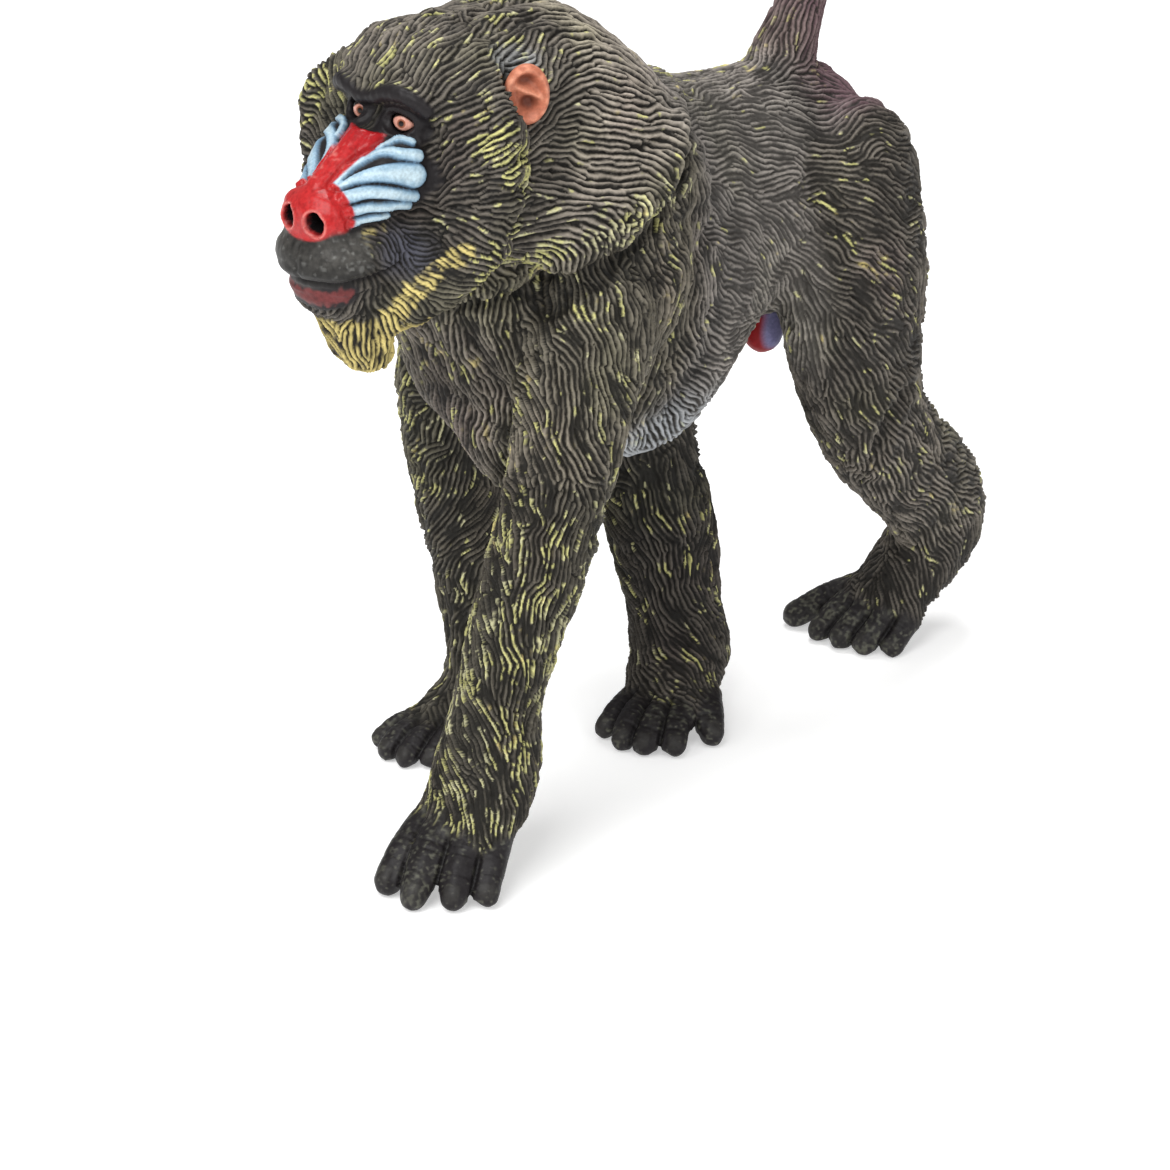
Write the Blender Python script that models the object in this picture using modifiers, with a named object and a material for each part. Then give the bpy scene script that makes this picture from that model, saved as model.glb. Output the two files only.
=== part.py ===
# Painted plastic toy figurine of a male mandrill, walking on all fours.
#
# The figure is blocked out from chains of balls, fused to one skin, sculpted, and then parted with
# thin cuts into the parts that a person would name. It faces -Y, its left side is +X, and it stands
# on z = 0. Sizes below are in millimetres; the model itself is in metres.

import math

import bmesh
import bpy
import numpy as np
from mathutils import Matrix, Vector
from mathutils.bvhtree import BVHTree

MM = 0.001

# Driving sizes
GAP = 0.3                # space between neighbouring parts
BALL_SPACING = 0.4       # distance between balls of a chain, in radii
FUSE_VOXEL = 0.36        # cell of the fused skin
SMOOTH_ROUNDS = 7        # rounds of smoothing after fusing
BODY_TRIANGLES = 8500    # of the whole skin, before it is carved and parted
FACE_DETAIL = 0.0008     # how much dearer it is to thin the face than the body
REACH = 90.0             # half width of an untrimmed cut, wider than the toy
RAY_STEP = 0.002         # past a surface that a ray has met

# Small features
EYE_RADIUS = 1.0
EYE_PLACE = (2.2, -23.6, 62.9)
LID_RING = 1.35          # radius of the rim round each eye
LID_SHARE = 0.8          # height of the rim as a share of its width
LID_FORWARD = 0.75       # from the middle of the eye to the rim
LID_THICKNESS = 0.5
LID_STATIONS = 9
EYE_TURN = 18.0          # degrees that each eye looks outward
LIP_THICKNESS = 0.55
NOSTRIL_SIZE = (0.65, 1.3, 0.9)
NOSTRIL_PLACE = (1.4, -32.6, 56.6)
NOSTRIL_TILT = -20.0
EAR_PLACES = {1: (9.4, -17.9, 65.3), -1: (-9.8, -15.4, 63.5)}  # the head is turned a little to its right
EAR_SIZE = (1.0, 1.8, 2.45)
EAR_CUP_SIZE = (0.9, 1.15, 1.7)
EAR_TURN = 34.0          # degrees that the ear opens towards the face
LOCK_PITCH = 2.3         # width of a sculpted lock of the mane
LOCK_DEPTH = 0.32
BEARD_PITCH = 1.5
CHEEK_GROOVES = 4
CHEEK_GROOVE_RADIUS = 0.22
GROOVE_STATIONS = 5
SMALL_BALL = 2           # fineness of the balls of eyes, ears and pockets

# Colours as the toy is painted
FUR = (0.060, 0.055, 0.042)
MANE_FUR = (0.085, 0.078, 0.050)
SKIN_BLACK = (0.020, 0.019, 0.018)
BLUE = (0.36, 0.55, 0.72)
YELLOW = (0.50, 0.46, 0.10)
SALMON = (0.62, 0.27, 0.16)
LILAC = (0.26, 0.25, 0.45)
MAUVE = (0.16, 0.09, 0.12)
AMBER = (0.30, 0.12, 0.07)

# Masses of the body: x, y, z and radii along x, y and z
TORSO = [
    (0, -10.0, 47.0, 10.4, 6.5, 14.5),
    (0, -3.5, 46.2, 11.4, 7.0, 17.2),
    (0, 2.5, 44.0, 11.2, 7.0, 17.0),
    (0, 7.5, 44.5, 10.1, 5.3, 14.1),
    (0, 12.5, 46.1, 9.0, 4.8, 11.5),
    (0, 18.0, 46.2, 8.6, 5.0, 10.8),
    (0, 24.4, 46.6, 7.6, 4.8, 9.6),
]
MANE = [
    (0.9, -15.5, 59.6, 9.5, 7.2, 10.5),
    (0.6, -9.5, 58.2, 10.8, 7.5, 11.4),
    (0, -4.0, 55.2, 12.2, 6.6, 10.6),
    (0, 0.0, 53.0, 11.8, 4.6, 8.6),
]
MANE_SIDE = [
    (8.5, -17.0, 55.5, 3.2, 3.4, 4.5),
    (9.6, -13.0, 54.0, 3.4, 4.0, 4.2),
    (10.0, -8.0, 54.2, 3.2, 4.0, 4.4),
    (9.4, -3.2, 56.0, 3.0, 3.6, 4.6),
]
RUFF_LEFT = [
    (0, -18.2, 68.5, 1.9),
    (5.4, -19.2, 67.0, 2.0),
    (8.9, -20.3, 63.6, 2.2),
    (9.6, -20.8, 58.6, 2.4),
    (8.4, -22.2, 54.3, 2.7),
    (5.3, -24.8, 50.4, 2.6),
    (1.6, -27.3, 47.8, 2.4),
]
RUFF_RIGHT = [
    (0, -18.2, 68.5, 1.9),
    (-5.6, -19.4, 65.4, 2.0),
    (-9.9, -20.4, 62.0, 2.3),
    (-10.0, -20.8, 59.2, 2.4),
    (-7.8, -22.2, 54.5, 2.6),
    (-5.3, -24.8, 50.4, 2.6),
    (-1.6, -27.3, 47.8, 2.4),
]
CHEEK_FUR = [
    (5.8, -20.4, 63.8, 3.0, 2.8, 3.0),
    (6.9, -20.8, 59.0, 3.0, 3.2, 4.0),
    (6.2, -22.4, 54.6, 3.2, 2.8, 3.2),
]
BEARD = [
    (0, -28.3, 48.2, 3.3, 2.5, 2.2),
    (0.2, -27.5, 46.0, 3.1, 2.8, 2.0),
    (0.4, -26.7, 43.9, 2.3, 2.4, 1.5),
]
THROAT = [
    (0, -19.0, 52.0, 8.0, 5.0, 5.5),
    (0, -15.5, 46.0, 8.5, 5.0, 7.5),
    (0, -13.5, 40.0, 7.5, 5.0, 7.0),
]

# Masses of the face
MUZZLE = [
    (0, -21.5, 59.6, 6.0, 3.0, 4.6),
    (0, -25.5, 58.2, 4.5, 2.6, 4.3),
    (0, -29.0, 56.4, 3.5, 2.4, 3.4),
    (0, -31.0, 55.3, 3.0, 2.0, 2.9),
]
UPPER_LIP = [
    (0, -24.0, 53.8, 5.6, 3.4, 3.2),
    (0, -28.3, 53.5, 5.1, 3.0, 2.8),
    (0, -31.2, 53.3, 4.3, 2.6, 2.5),
]
JAW = [
    (0, -23.0, 50.5, 5.4, 3.5, 3.6),
    (0, -27.2, 49.7, 4.4, 2.8, 2.4),
    (0, -30.5, 49.9, 3.4, 2.0, 1.8),
]
CHEEK_SWELLING = [
    (3.5, -24.8, 59.2, 1.7, 1.4, 3.1),
    (2.8, -27.6, 58.3, 1.4, 1.5, 2.6),
    (1.9, -29.9, 57.1, 1.1, 1.2, 1.9),
]
NOSE_RIDGE = [
    (0, -24.5, 62.8, 1.0),
    (0, -26.2, 61.7, 1.0),
    (0, -28.9, 59.9, 1.05),
    (0, -30.8, 58.3, 1.3),
]
NOSE = [
    (1.6, -31.5, 56.6, 1.65, 1.5, 2.15),
    (0, -31.8, 56.8, 1.8, 1.6, 2.3),
]
BROW = [
    (0, -24.7, 65.0, 1.0),
    (2.4, -24.6, 65.2, 1.1),
    (4.4, -23.5, 64.7, 1.1),
    (5.4, -22.2, 63.2, 1.0),
]
LIP_HIGH = [
    (0, -32.2, 51.7, LIP_THICKNESS),
    (1.9, -31.9, 51.7, LIP_THICKNESS),
    (3.4, -30.6, 51.8, LIP_THICKNESS),
    (4.5, -28.0, 51.9, LIP_THICKNESS),
]
LIP_LOW = [
    (0, -31.8, 50.3, LIP_THICKNESS),
    (1.8, -31.4, 50.3, LIP_THICKNESS),
    (3.1, -30.0, 50.2, LIP_THICKNESS),
    (4.2, -27.6, 50.1, LIP_THICKNESS),
]
FOREHEAD = [
    (0, -22.6, 65.6, 6.0, 2.4, 2.0),
    (0, -20.2, 67.4, 6.0, 3.0, 2.2),
]
TAIL = [
    (0, 20.6, 54.6, 3.6, 3.2, 2.6),
    (0, 22.3, 57.8, 2.8, 2.6, 2.2),
    (0.4, 23.4, 60.8, 2.3, 2.2, 1.9),
    (0.8, 24.7, 63.2, 1.5, 1.5, 1.3),
]
GENITAL = [
    (0.15, 20.9, 36.7, 1.8, 2.0, 2.4),
    (0.25, 19.7, 33.1, 1.85, 2.0, 2.3),
]

# Limbs, from the body out to the palm or the sole
ARM_LEFT = [
    (9.0, -6.5, 48.0, 4.8, 6.2, 7.2),
    (10.2, -10.8, 45.0, 4.8, 6.0, 6.6),
    (10.6, -14.0, 39.5, 4.7, 5.2, 5.6),
    (10.9, -15.9, 33.0, 4.2, 4.4, 4.7),
    (10.0, -17.8, 25.5, 4.1, 4.2, 4.6),
    (9.2, -19.6, 19.8, 3.8, 3.8, 4.2),
    (8.8, -20.9, 14.8, 3.7, 3.6, 3.7),
    (8.6, -21.6, 10.4, 4.6, 3.9, 3.9),
    (8.7, -23.2, 6.8, 4.9, 3.6, 3.2),
    (8.6, -25.2, 4.8, 4.6, 2.2, 2.2),
]
ARM_RIGHT = [
    (-8.5, -5.0, 46.5, 4.8, 6.2, 8.0),
    (-8.3, -8.0, 41.0, 4.1, 5.1, 6.2),
    (-9.1, -8.5, 34.0, 4.2, 4.8, 5.2),
    (-9.6, -7.2, 26.5, 4.2, 4.5, 4.8),
    (-9.6, -5.3, 18.0, 4.0, 4.2, 4.4),
    (-9.6, -4.2, 10.5, 3.6, 3.6, 3.6),
    (-9.6, -4.4, 5.3, 3.6, 3.3, 2.8),
    (-10.1, -7.3, 2.9, 3.5, 2.7, 1.9),
    (-10.3, -10.0, 2.0, 3.4, 1.8, 1.3),
]
LEG_LEFT = [
    (6.6, 23.8, 46.6, 5.2, 5.9, 7.8),
    (7.4, 23.0, 39.0, 5.2, 7.8, 6.8),
    (7.4, 23.7, 31.5, 4.5, 6.8, 6.0),
    (6.8, 26.4, 25.0, 4.3, 5.6, 5.5),
    (5.8, 31.7, 19.2, 4.2, 5.2, 5.3),
    (4.9, 36.9, 14.3, 3.7, 5.6, 4.7),
    (4.2, 38.8, 9.9, 3.6, 5.0, 3.8),
    (3.2, 36.8, 6.6, 3.9, 4.3, 3.2),
    (2.4, 33.9, 3.9, 4.2, 2.5, 2.5),
]
LEG_RIGHT = [
    (-5.6, 21.5, 46.5, 5.0, 6.0, 7.0),
    (-6.4, 16.2, 40.4, 5.0, 5.2, 6.0),
    (-6.2, 11.9, 33.5, 4.8, 4.7, 5.6),
    (-5.4, 10.0, 27.5, 4.8, 5.2, 5.4),
    (-4.6, 10.4, 22.0, 4.6, 5.0, 5.0),
    (-3.7, 11.6, 15.5, 4.6, 5.1, 4.8),
    (-2.6, 11.8, 9.5, 4.1, 4.3, 4.2),
    (-1.4, 11.4, 5.4, 4.6, 4.3, 3.5),
    (0.1, 8.6, 3.5, 4.5, 3.2, 2.5),
    (1.2, 6.4, 2.5, 4.3, 2.2, 1.8),
]

# Fingers and toes: root and tip of each, then the radius at each end
DIGITS = {
    "hand_left": [
        ((5.4, -26.2, 4.3), (6.2, -31.0, 1.2), 1.5, 1.3),
        ((7.7, -26.6, 4.5), (9.5, -31.3, 1.1), 1.5, 1.25),
        ((10.0, -25.6, 4.3), (12.0, -29.3, 1.1), 1.4, 1.2),
        ((11.8, -24.0, 4.0), (13.7, -27.0, 1.1), 1.3, 1.1),
        ((5.0, -23.0, 4.4), (4.7, -26.4, 1.0), 1.15, 0.95),
    ],
    "hand_right": [
        ((-12.8, -9.9, 2.1), (-13.7, -12.9, 0.9), 1.1, 0.95),
        ((-11.4, -10.6, 2.1), (-11.6, -14.1, 0.9), 1.15, 1.0),
        ((-9.8, -10.6, 2.1), (-9.4, -14.0, 0.9), 1.15, 1.0),
        ((-8.3, -9.8, 2.1), (-7.5, -12.6, 0.9), 1.1, 0.95),
        ((-7.6, -7.0, 2.1), (-6.1, -9.1, 0.9), 1.1, 0.9),
    ],
    "foot_left": [
        ((-0.9, 34.8, 3.8), (-5.2, 30.5, 1.0), 1.55, 1.25),
        ((0.2, 33.4, 3.5), (-1.6, 29.6, 0.85), 1.4, 1.1),
        ((2.1, 33.2, 3.4), (1.0, 29.7, 0.85), 1.4, 1.1),
        ((4.0, 33.4, 3.3), (3.4, 30.2, 0.8), 1.35, 1.05),
        ((5.7, 34.2, 3.1), (5.6, 31.6, 0.75), 1.25, 1.0),
    ],
    "foot_right": [
        ((3.2, 9.6, 2.9), (6.4, 7.2, 1.2), 1.6, 1.25),
        ((3.3, 6.4, 2.6), (5.6, 3.4, 1.0), 1.35, 1.1),
        ((2.0, 5.6, 2.6), (3.5, 1.8, 1.0), 1.35, 1.1),
        ((0.3, 5.2, 2.6), (1.4, 1.2, 1.0), 1.3, 1.1),
        ((-1.5, 5.6, 2.5), (-1.2, 1.8, 1.0), 1.25, 1.05),
    ],
}

# Cuts: a plane by a point and the direction it faces
NECK = ((0, -19.0, 50.0), (0, -12.0, 23.0))
BEHIND_HEAD = ((0, -9.0, 72.0), (0, 26.0, -10.0))
FACE = ((0, -25.5, 63.6), (0, -23.6, -1.0))
MOUTH = ((0, -30.0, 51.0), (0, 0.1, 1.0))
CHEST = ((0, 2.6, 45.0), (0, 1.0, 0))
LOIN = ((0, 17.0, 45.0), (0, 1.0, 0))
ARM_INSIDE = {"left": ((6.4, -10.0, 42.0), (10.0, 0, -1.0)), "right": ((-6.0, -6.0, 42.0), (-10.0, 0, -1.0))}
ARM_BEHIND = {"left": ((10.0, -1.4, 45.0), (-6.0, 8.0, 0)), "right": ((-10.0, 1.0, 45.0), (2.0, 8.0, 0))}
ELBOW = {"left": ((10.9, -16.0, 32.5), (0.8, 3.4, 14.0)), "right": ((-9.8, -8.0, 30.0), (0, -1.4, 8.0))}
WRIST = {"left": ((8.6, -21.4, 12.6), (0.3, 1.6, 7.0)), "right": ((-9.8, -4.2, 8.0), (0, -1.0, 7.0))}
THIGH_INSIDE = {"left": ((2.0, 22.0, 33.0), (23.0, 0, -6.5)), "right": ((0.8, 12.0, 26.0), (-26.0, 0, -9.8))}
THIGH_FRONT = ((-8.0, 5.0, 29.0), (0, 23.0, -10.0))
KNEE = {"left": ((6.8, 26.4, 24.4), (0.6, -3.6, 6.2)), "right": ((-5.2, 10.0, 23.6), (0, 0, 1.0))}
ANKLE = {"left": ((4.4, 39.2, 10.8), (0, -1.0, 3.4)), "right": ((-2.0, 11.7, 7.0), (0, -0.4, 3.0))}
TAIL_ROOT = ((0, 21.9, 57.0), (0, 1.0, 3.0))
GENITAL_ROOT = ((0, 20.0, 35.3), (0, 0.25, -1.0))


# Ball shapes

def clear_scene():
    for obj in list(bpy.data.objects):
        bpy.data.objects.remove(obj, do_unlink=True)


def make_collection(name):
    collection = bpy.data.collections.new(name)
    bpy.context.scene.collection.children.link(collection)
    return collection


def unit_ball(fineness):
    """Points and faces of an icosphere of radius 1."""
    bm = bmesh.new()
    bmesh.ops.create_icosphere(bm, subdivisions=fineness, radius=1.0)
    points = np.array([v.co[:] for v in bm.verts])
    faces = np.array([[v.index for v in f.verts] for f in bm.faces])
    bm.free()
    return points, faces


def ball_mesh(name, balls, fineness):
    """One mesh of many balls, each a centre, three radii and a turn."""
    points, faces = unit_ball(fineness)
    corners = []
    triangles = []
    for centre, radii, turn in balls:
        triangles.append(faces + len(points) * len(triangles))
        corners.append((points * radii) @ np.array(turn.to_3x3()).T + centre)
    mesh = bpy.data.meshes.new(name)
    mesh.from_pydata(np.concatenate(corners) * MM, [], np.concatenate(triangles))
    return mesh


def smooth_curve(stations):
    """Rows read off a Catmull-Rom curve through the stations, close enough for balls to overlap."""
    rows = np.array([stations[0]] + list(stations) + [stations[-1]], dtype=float)
    out = []
    for before, start, end, after in zip(rows, rows[1:], rows[2:], rows[3:]):
        reach = np.linalg.norm(end[:3] - start[:3])
        step = BALL_SPACING * min(start[3:].min(), end[3:].min())
        for t in np.arange(0, 1, 1 / max(2, math.ceil(reach / step))):
            out.append(0.5 * (2 * start + (end - before) * t
                              + (2 * before - 5 * start + 4 * end - after) * t ** 2
                              + (3 * start - 3 * end + after - before) * t ** 3))
    return out + [rows[-1]]


def chain(stations):
    """A limb or mass as balls set close along a smooth curve. A station has one radius or three."""
    full = [s if len(s) == 6 else (*s[:3], s[3], s[3], s[3]) for s in stations]
    return [(row[:3], row[3:], Matrix.Identity(4)) for row in smooth_curve(full)]


def mirrored(stations):
    return [(-s[0], *s[1:]) for s in stations]


def both_sides(stations):
    return chain(stations) + chain(mirrored(stations))


def lid_rim(side):
    """Stations round one eye, in front of its middle, for the rim of the lids."""
    out = []
    for turn in np.linspace(0, 2 * math.pi, LID_STATIONS):
        place = Vector((LID_RING * math.cos(turn), -LID_FORWARD, LID_RING * LID_SHARE * math.sin(turn)))
        place.rotate(Matrix.Rotation(math.radians(EYE_TURN), 3, "Z"))
        x, y, z = Vector(EYE_PLACE) + place
        out.append((side * x, y, z, LID_THICKNESS))
    return out


def digit(root, tip, thick, thin):
    middle = (Vector(root) + Vector(tip)) / 2 + Vector((0, 0, 0.4))
    return chain([(*root, thick), (*middle, (thick + thin) / 2), (*tip, thin)])


# The skin

def evaluated_mesh(obj):
    graph = bpy.context.evaluated_depsgraph_get()
    return bpy.data.meshes.new_from_object(obj.evaluated_get(graph), depsgraph=graph)


def apply_modifiers(obj):
    old = obj.data
    obj.data = evaluated_mesh(obj)
    obj.modifiers.clear()
    bpy.data.meshes.remove(old)


def join_meshes(name, meshes):
    bm = bmesh.new()
    for mesh in meshes:
        bm.from_mesh(mesh)
        bpy.data.meshes.remove(mesh)
    joined = bpy.data.meshes.new(name)
    bm.to_mesh(joined)
    bm.free()
    return joined


def block_out():
    """Every mass as close-set balls in one mesh, not yet fused."""
    large = [b for s in (TORSO, MANE) for b in chain(s)]
    medium = [b for s in (THROAT, BEARD, MUZZLE, UPPER_LIP, JAW, FOREHEAD, TAIL, GENITAL,
                          ARM_LEFT, ARM_RIGHT, LEG_LEFT, LEG_RIGHT) for b in chain(s)]
    medium += both_sides(MANE_SIDE) + both_sides(CHEEK_FUR)
    small = [b for s in (NOSE_RIDGE, RUFF_LEFT, RUFF_RIGHT, lid_rim(1), lid_rim(-1)) for b in chain(s)]
    for stations in (NOSE, BROW, CHEEK_SWELLING, LIP_HIGH, LIP_LOW):
        small += both_sides(stations)
    for digits in DIGITS.values():
        for row in digits:
            small += digit(*row)
    return join_meshes("block_out", [ball_mesh("large", large, 4), ball_mesh("medium", medium, 3),
                                     ball_mesh("small", small, 3)])


def fused(mesh, parts):
    """One closed skin over all the balls, smoothed."""
    obj = bpy.data.objects.new("skin", mesh)
    parts.objects.link(obj)
    remesh = obj.modifiers.new("Fuse", "REMESH")
    remesh.mode = "VOXEL"
    remesh.voxel_size = FUSE_VOXEL * MM
    smooth = obj.modifiers.new("Soften", "SMOOTH")
    smooth.factor = 0.5
    smooth.iterations = SMOOTH_ROUNDS
    apply_modifiers(obj)
    return obj


def points_and_normals(mesh):
    points = np.empty(len(mesh.vertices) * 3, dtype=np.float32)
    normals = np.empty(len(mesh.vertices) * 3, dtype=np.float32)
    mesh.vertices.foreach_get("co", points)
    mesh.vertex_normals.foreach_get("vector", normals)
    return points.reshape(-1, 3).astype(float) / MM, normals.reshape(-1, 3).astype(float)


def ramp(values, start, end):
    """0 before start, 1 after end, and smooth between; runs backwards where end is less than start."""
    t = np.clip((values - start) / (end - start), 0, 1)
    return t * t * (3 - 2 * t)


def sculpt_locks(obj):
    """Broad grooves that run back from the face through the mane, and down the beard."""
    points, normals = points_and_normals(obj.data)
    x, y, z = points.T
    around = np.arctan2(x, z - 58.0) * 11.0
    wander = 0.5 * np.sin(y / 2.6 + 0.8 * np.sin(around / 3.0))
    crest = np.abs(np.sin(math.pi * (around + wander) / LOCK_PITCH))
    behind_face = ramp(np.hypot(x, z - 59.0), 5.0, 8.0) * ramp(y, -24.0, -21.5)
    in_mane = behind_face * ramp(y + 0.55 * (z - 58.0), 4.0, 1.0) * ramp(z, 46.0, 50.0)
    to_ear = np.minimum(*(np.linalg.norm(points - place, axis=1) for place in EAR_PLACES.values()))
    clear_of_ear = ramp(to_ear, 2.4, 4.0)
    beard = ramp(z, 48.2, 46.8) * ramp(y, -23.5, -25.5) * ramp(z, 30.0, 40.0)
    beard_crest = np.abs(np.sin(math.pi * (np.arctan2(x, -25.5 - y) * 3.2) / BEARD_PITCH))
    depth = LOCK_DEPTH * (in_mane * clear_of_ear * (1 - crest) ** 1.5 * 1.6 + beard * (1 - beard_crest))
    points -= normals * depth[:, None]
    obj.data.vertices.foreach_set("co", (points * MM).astype(np.float32).ravel())
    obj.data.update()


def thin_out(obj):
    """Fewer triangles, with a larger share of them kept for the face."""
    points, _ = points_and_normals(obj.data)
    face = ramp(points[:, 1], -21.0, -24.0) * ramp(points[:, 2], 42.0, 44.0)
    group = obj.vertex_groups.new(name="free_to_thin")
    for index, share in enumerate(face):
        group.add([index], 1 - 0.5 * float(share), "REPLACE")
    obj.data.calc_loop_triangles()
    thin = obj.modifiers.new("Thin out", "DECIMATE")
    thin.ratio = BODY_TRIANGLES / len(obj.data.loop_triangles)
    thin.vertex_group = group.name
    thin.vertex_group_factor = FACE_DETAIL
    apply_modifiers(obj)
    obj.vertex_groups.clear()


def flatten_soles(obj):
    """Cuts off what reaches below the floor, which leaves a small flat under each finger and toe."""
    bm = bmesh.new()
    bm.from_mesh(obj.data)
    cut = bmesh.ops.bisect_plane(bm, geom=bm.verts[:] + bm.edges[:] + bm.faces[:], plane_co=(0, 0, 0),
                                 plane_no=(0, 0, 1), clear_inner=True)
    rim = [e for e in cut["geom_cut"] if isinstance(e, bmesh.types.BMEdge)]
    bmesh.ops.triangle_fill(bm, edges=rim, use_beauty=True)
    bmesh.ops.triangulate(bm, faces=bm.faces[:])
    bmesh.ops.recalc_face_normals(bm, faces=bm.faces[:])
    bm.to_mesh(obj.data)
    bm.free()


# Carving

def boolean(obj, others, operation, collection):
    """Cuts with, or joins, closed mesh objects, which are then removed."""
    for other in others:
        collection.objects.link(other)
    modifier = obj.modifiers.new(operation.title(), "BOOLEAN")
    modifier.operation = operation
    modifier.operand_type = "COLLECTION"
    modifier.collection = collection
    apply_modifiers(obj)
    for other in others:
        bpy.data.objects.remove(other)


def ball_object(name, place, size, turn=Matrix.Identity(4), fineness=SMALL_BALL):
    return bpy.data.objects.new(name, ball_mesh(name, [(np.array(place), np.array(size), turn)], fineness))


def ear_turn(side):
    return Matrix.Rotation(-side * math.radians(EAR_TURN), 4, "Z")


def beside(place, side):
    return (side * place[0], place[1], place[2])


def pockets():
    """Hollows that the eyes and ears sit in, a gap wider than what fills them, and the nostrils."""
    out = []
    for side in (-1, 1):
        out.append(ball_object("socket", beside(EYE_PLACE, side), [EYE_RADIUS + GAP] * 3))
        out.append(ball_object("ear_pocket", EAR_PLACES[side], np.array(EAR_SIZE) + GAP, ear_turn(side)))
        out.append(ball_object("nostril", beside(NOSTRIL_PLACE, side), NOSTRIL_SIZE,
                               Matrix.Rotation(math.radians(NOSTRIL_TILT), 4, "X")))
    return out


def cheek_grooves(tree):
    """Slim tubes sunk half way into each blue cheek, fanning back from the nose."""
    out = []
    for side in (-1, 1):
        for k in range(CHEEK_GROOVES):
            share = (k + 0.5) / CHEEK_GROOVES
            front = Vector((2.6, -30.8, 59.2 - 3.4 * share))
            back = Vector((3.6 + 1.2 * share, -24.6, 62.4 - 6.6 * share))
            stations = []
            for t in np.linspace(0, 1, GROOVE_STATIONS):
                aim = front.lerp(back, t)
                aim.x *= side
                near, _, _, _ = tree.find_nearest(aim * MM)
                stations.append((*(near / MM), CHEEK_GROOVE_RADIUS))
            out.append(tube_object("cheek_groove", stations))
    return out


def tube_object(name, stations):
    """A round tube with filled ends through stations of x, y, z and radius, as a closed mesh."""
    curve = bpy.data.curves.new(name, "CURVE")
    curve.dimensions = "3D"
    curve.bevel_depth = MM
    curve.bevel_resolution = 0
    curve.use_fill_caps = True
    spline = curve.splines.new("POLY")
    spline.points.add(len(stations) - 1)
    for point, (x, y, z, radius) in zip(spline.points, stations):
        point.co = (x * MM, y * MM, z * MM, 1)
        point.radius = radius
    guide = bpy.data.objects.new(name, curve)
    bpy.context.scene.collection.objects.link(guide)
    mesh = evaluated_mesh(guide)
    bpy.data.objects.remove(guide)
    bm = bmesh.new()
    bm.from_mesh(mesh)
    bmesh.ops.remove_doubles(bm, verts=bm.verts[:], dist=0.001 * MM)
    bmesh.ops.recalc_face_normals(bm, faces=bm.faces[:])
    bm.to_mesh(mesh)
    bm.free()
    return bpy.data.objects.new(name, mesh)


# Parting

def slab(name, plane, ends=(), lowest=(-REACH,) * 3, highest=(REACH,) * 3):
    """A sheet as thick as the gap, on a plane, ended by other planes and by a box.

    An end is a plane and the side of it that the slab keeps: 1 where the plane faces, -1 behind it.
    """
    point, facing = Vector(plane[0]), Vector(plane[1]).normalized()
    bm = bmesh.new()
    turn = facing.to_track_quat("Z", "Y").to_matrix().to_4x4()
    size = Matrix.Diagonal((4 * REACH, 4 * REACH, GAP, 1))
    bmesh.ops.create_cube(bm, size=1.0, matrix=Matrix.Translation(point) @ turn @ size)
    trims = [(Vector(p), Vector(n).normalized() * side) for (p, n), side in ends]
    for axis in range(3):
        step = Vector((axis == 0, axis == 1, axis == 2))
        trims.append((step * lowest[axis], step))
        trims.append((step * highest[axis], -step))
    for place, keep in trims:
        cut = bmesh.ops.bisect_plane(bm, geom=bm.verts[:] + bm.edges[:] + bm.faces[:], plane_co=place,
                                     plane_no=keep, clear_inner=True)
        rim = [e for e in cut["geom_cut"] if isinstance(e, bmesh.types.BMEdge)]
        if rim:
            bmesh.ops.contextual_create(bm, geom=rim)
    bmesh.ops.recalc_face_normals(bm, faces=bm.faces[:])
    bmesh.ops.scale(bm, vec=(MM, MM, MM), verts=bm.verts[:])
    mesh = bpy.data.meshes.new(name)
    bm.to_mesh(mesh)
    bm.free()
    return bpy.data.objects.new(name, mesh)


def around(plane, reach):
    """A box about a plane's point, for a cut that crosses one limb only."""
    point = plane[0]
    return {"lowest": [c - reach for c in point], "highest": [c + reach for c in point]}


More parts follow.
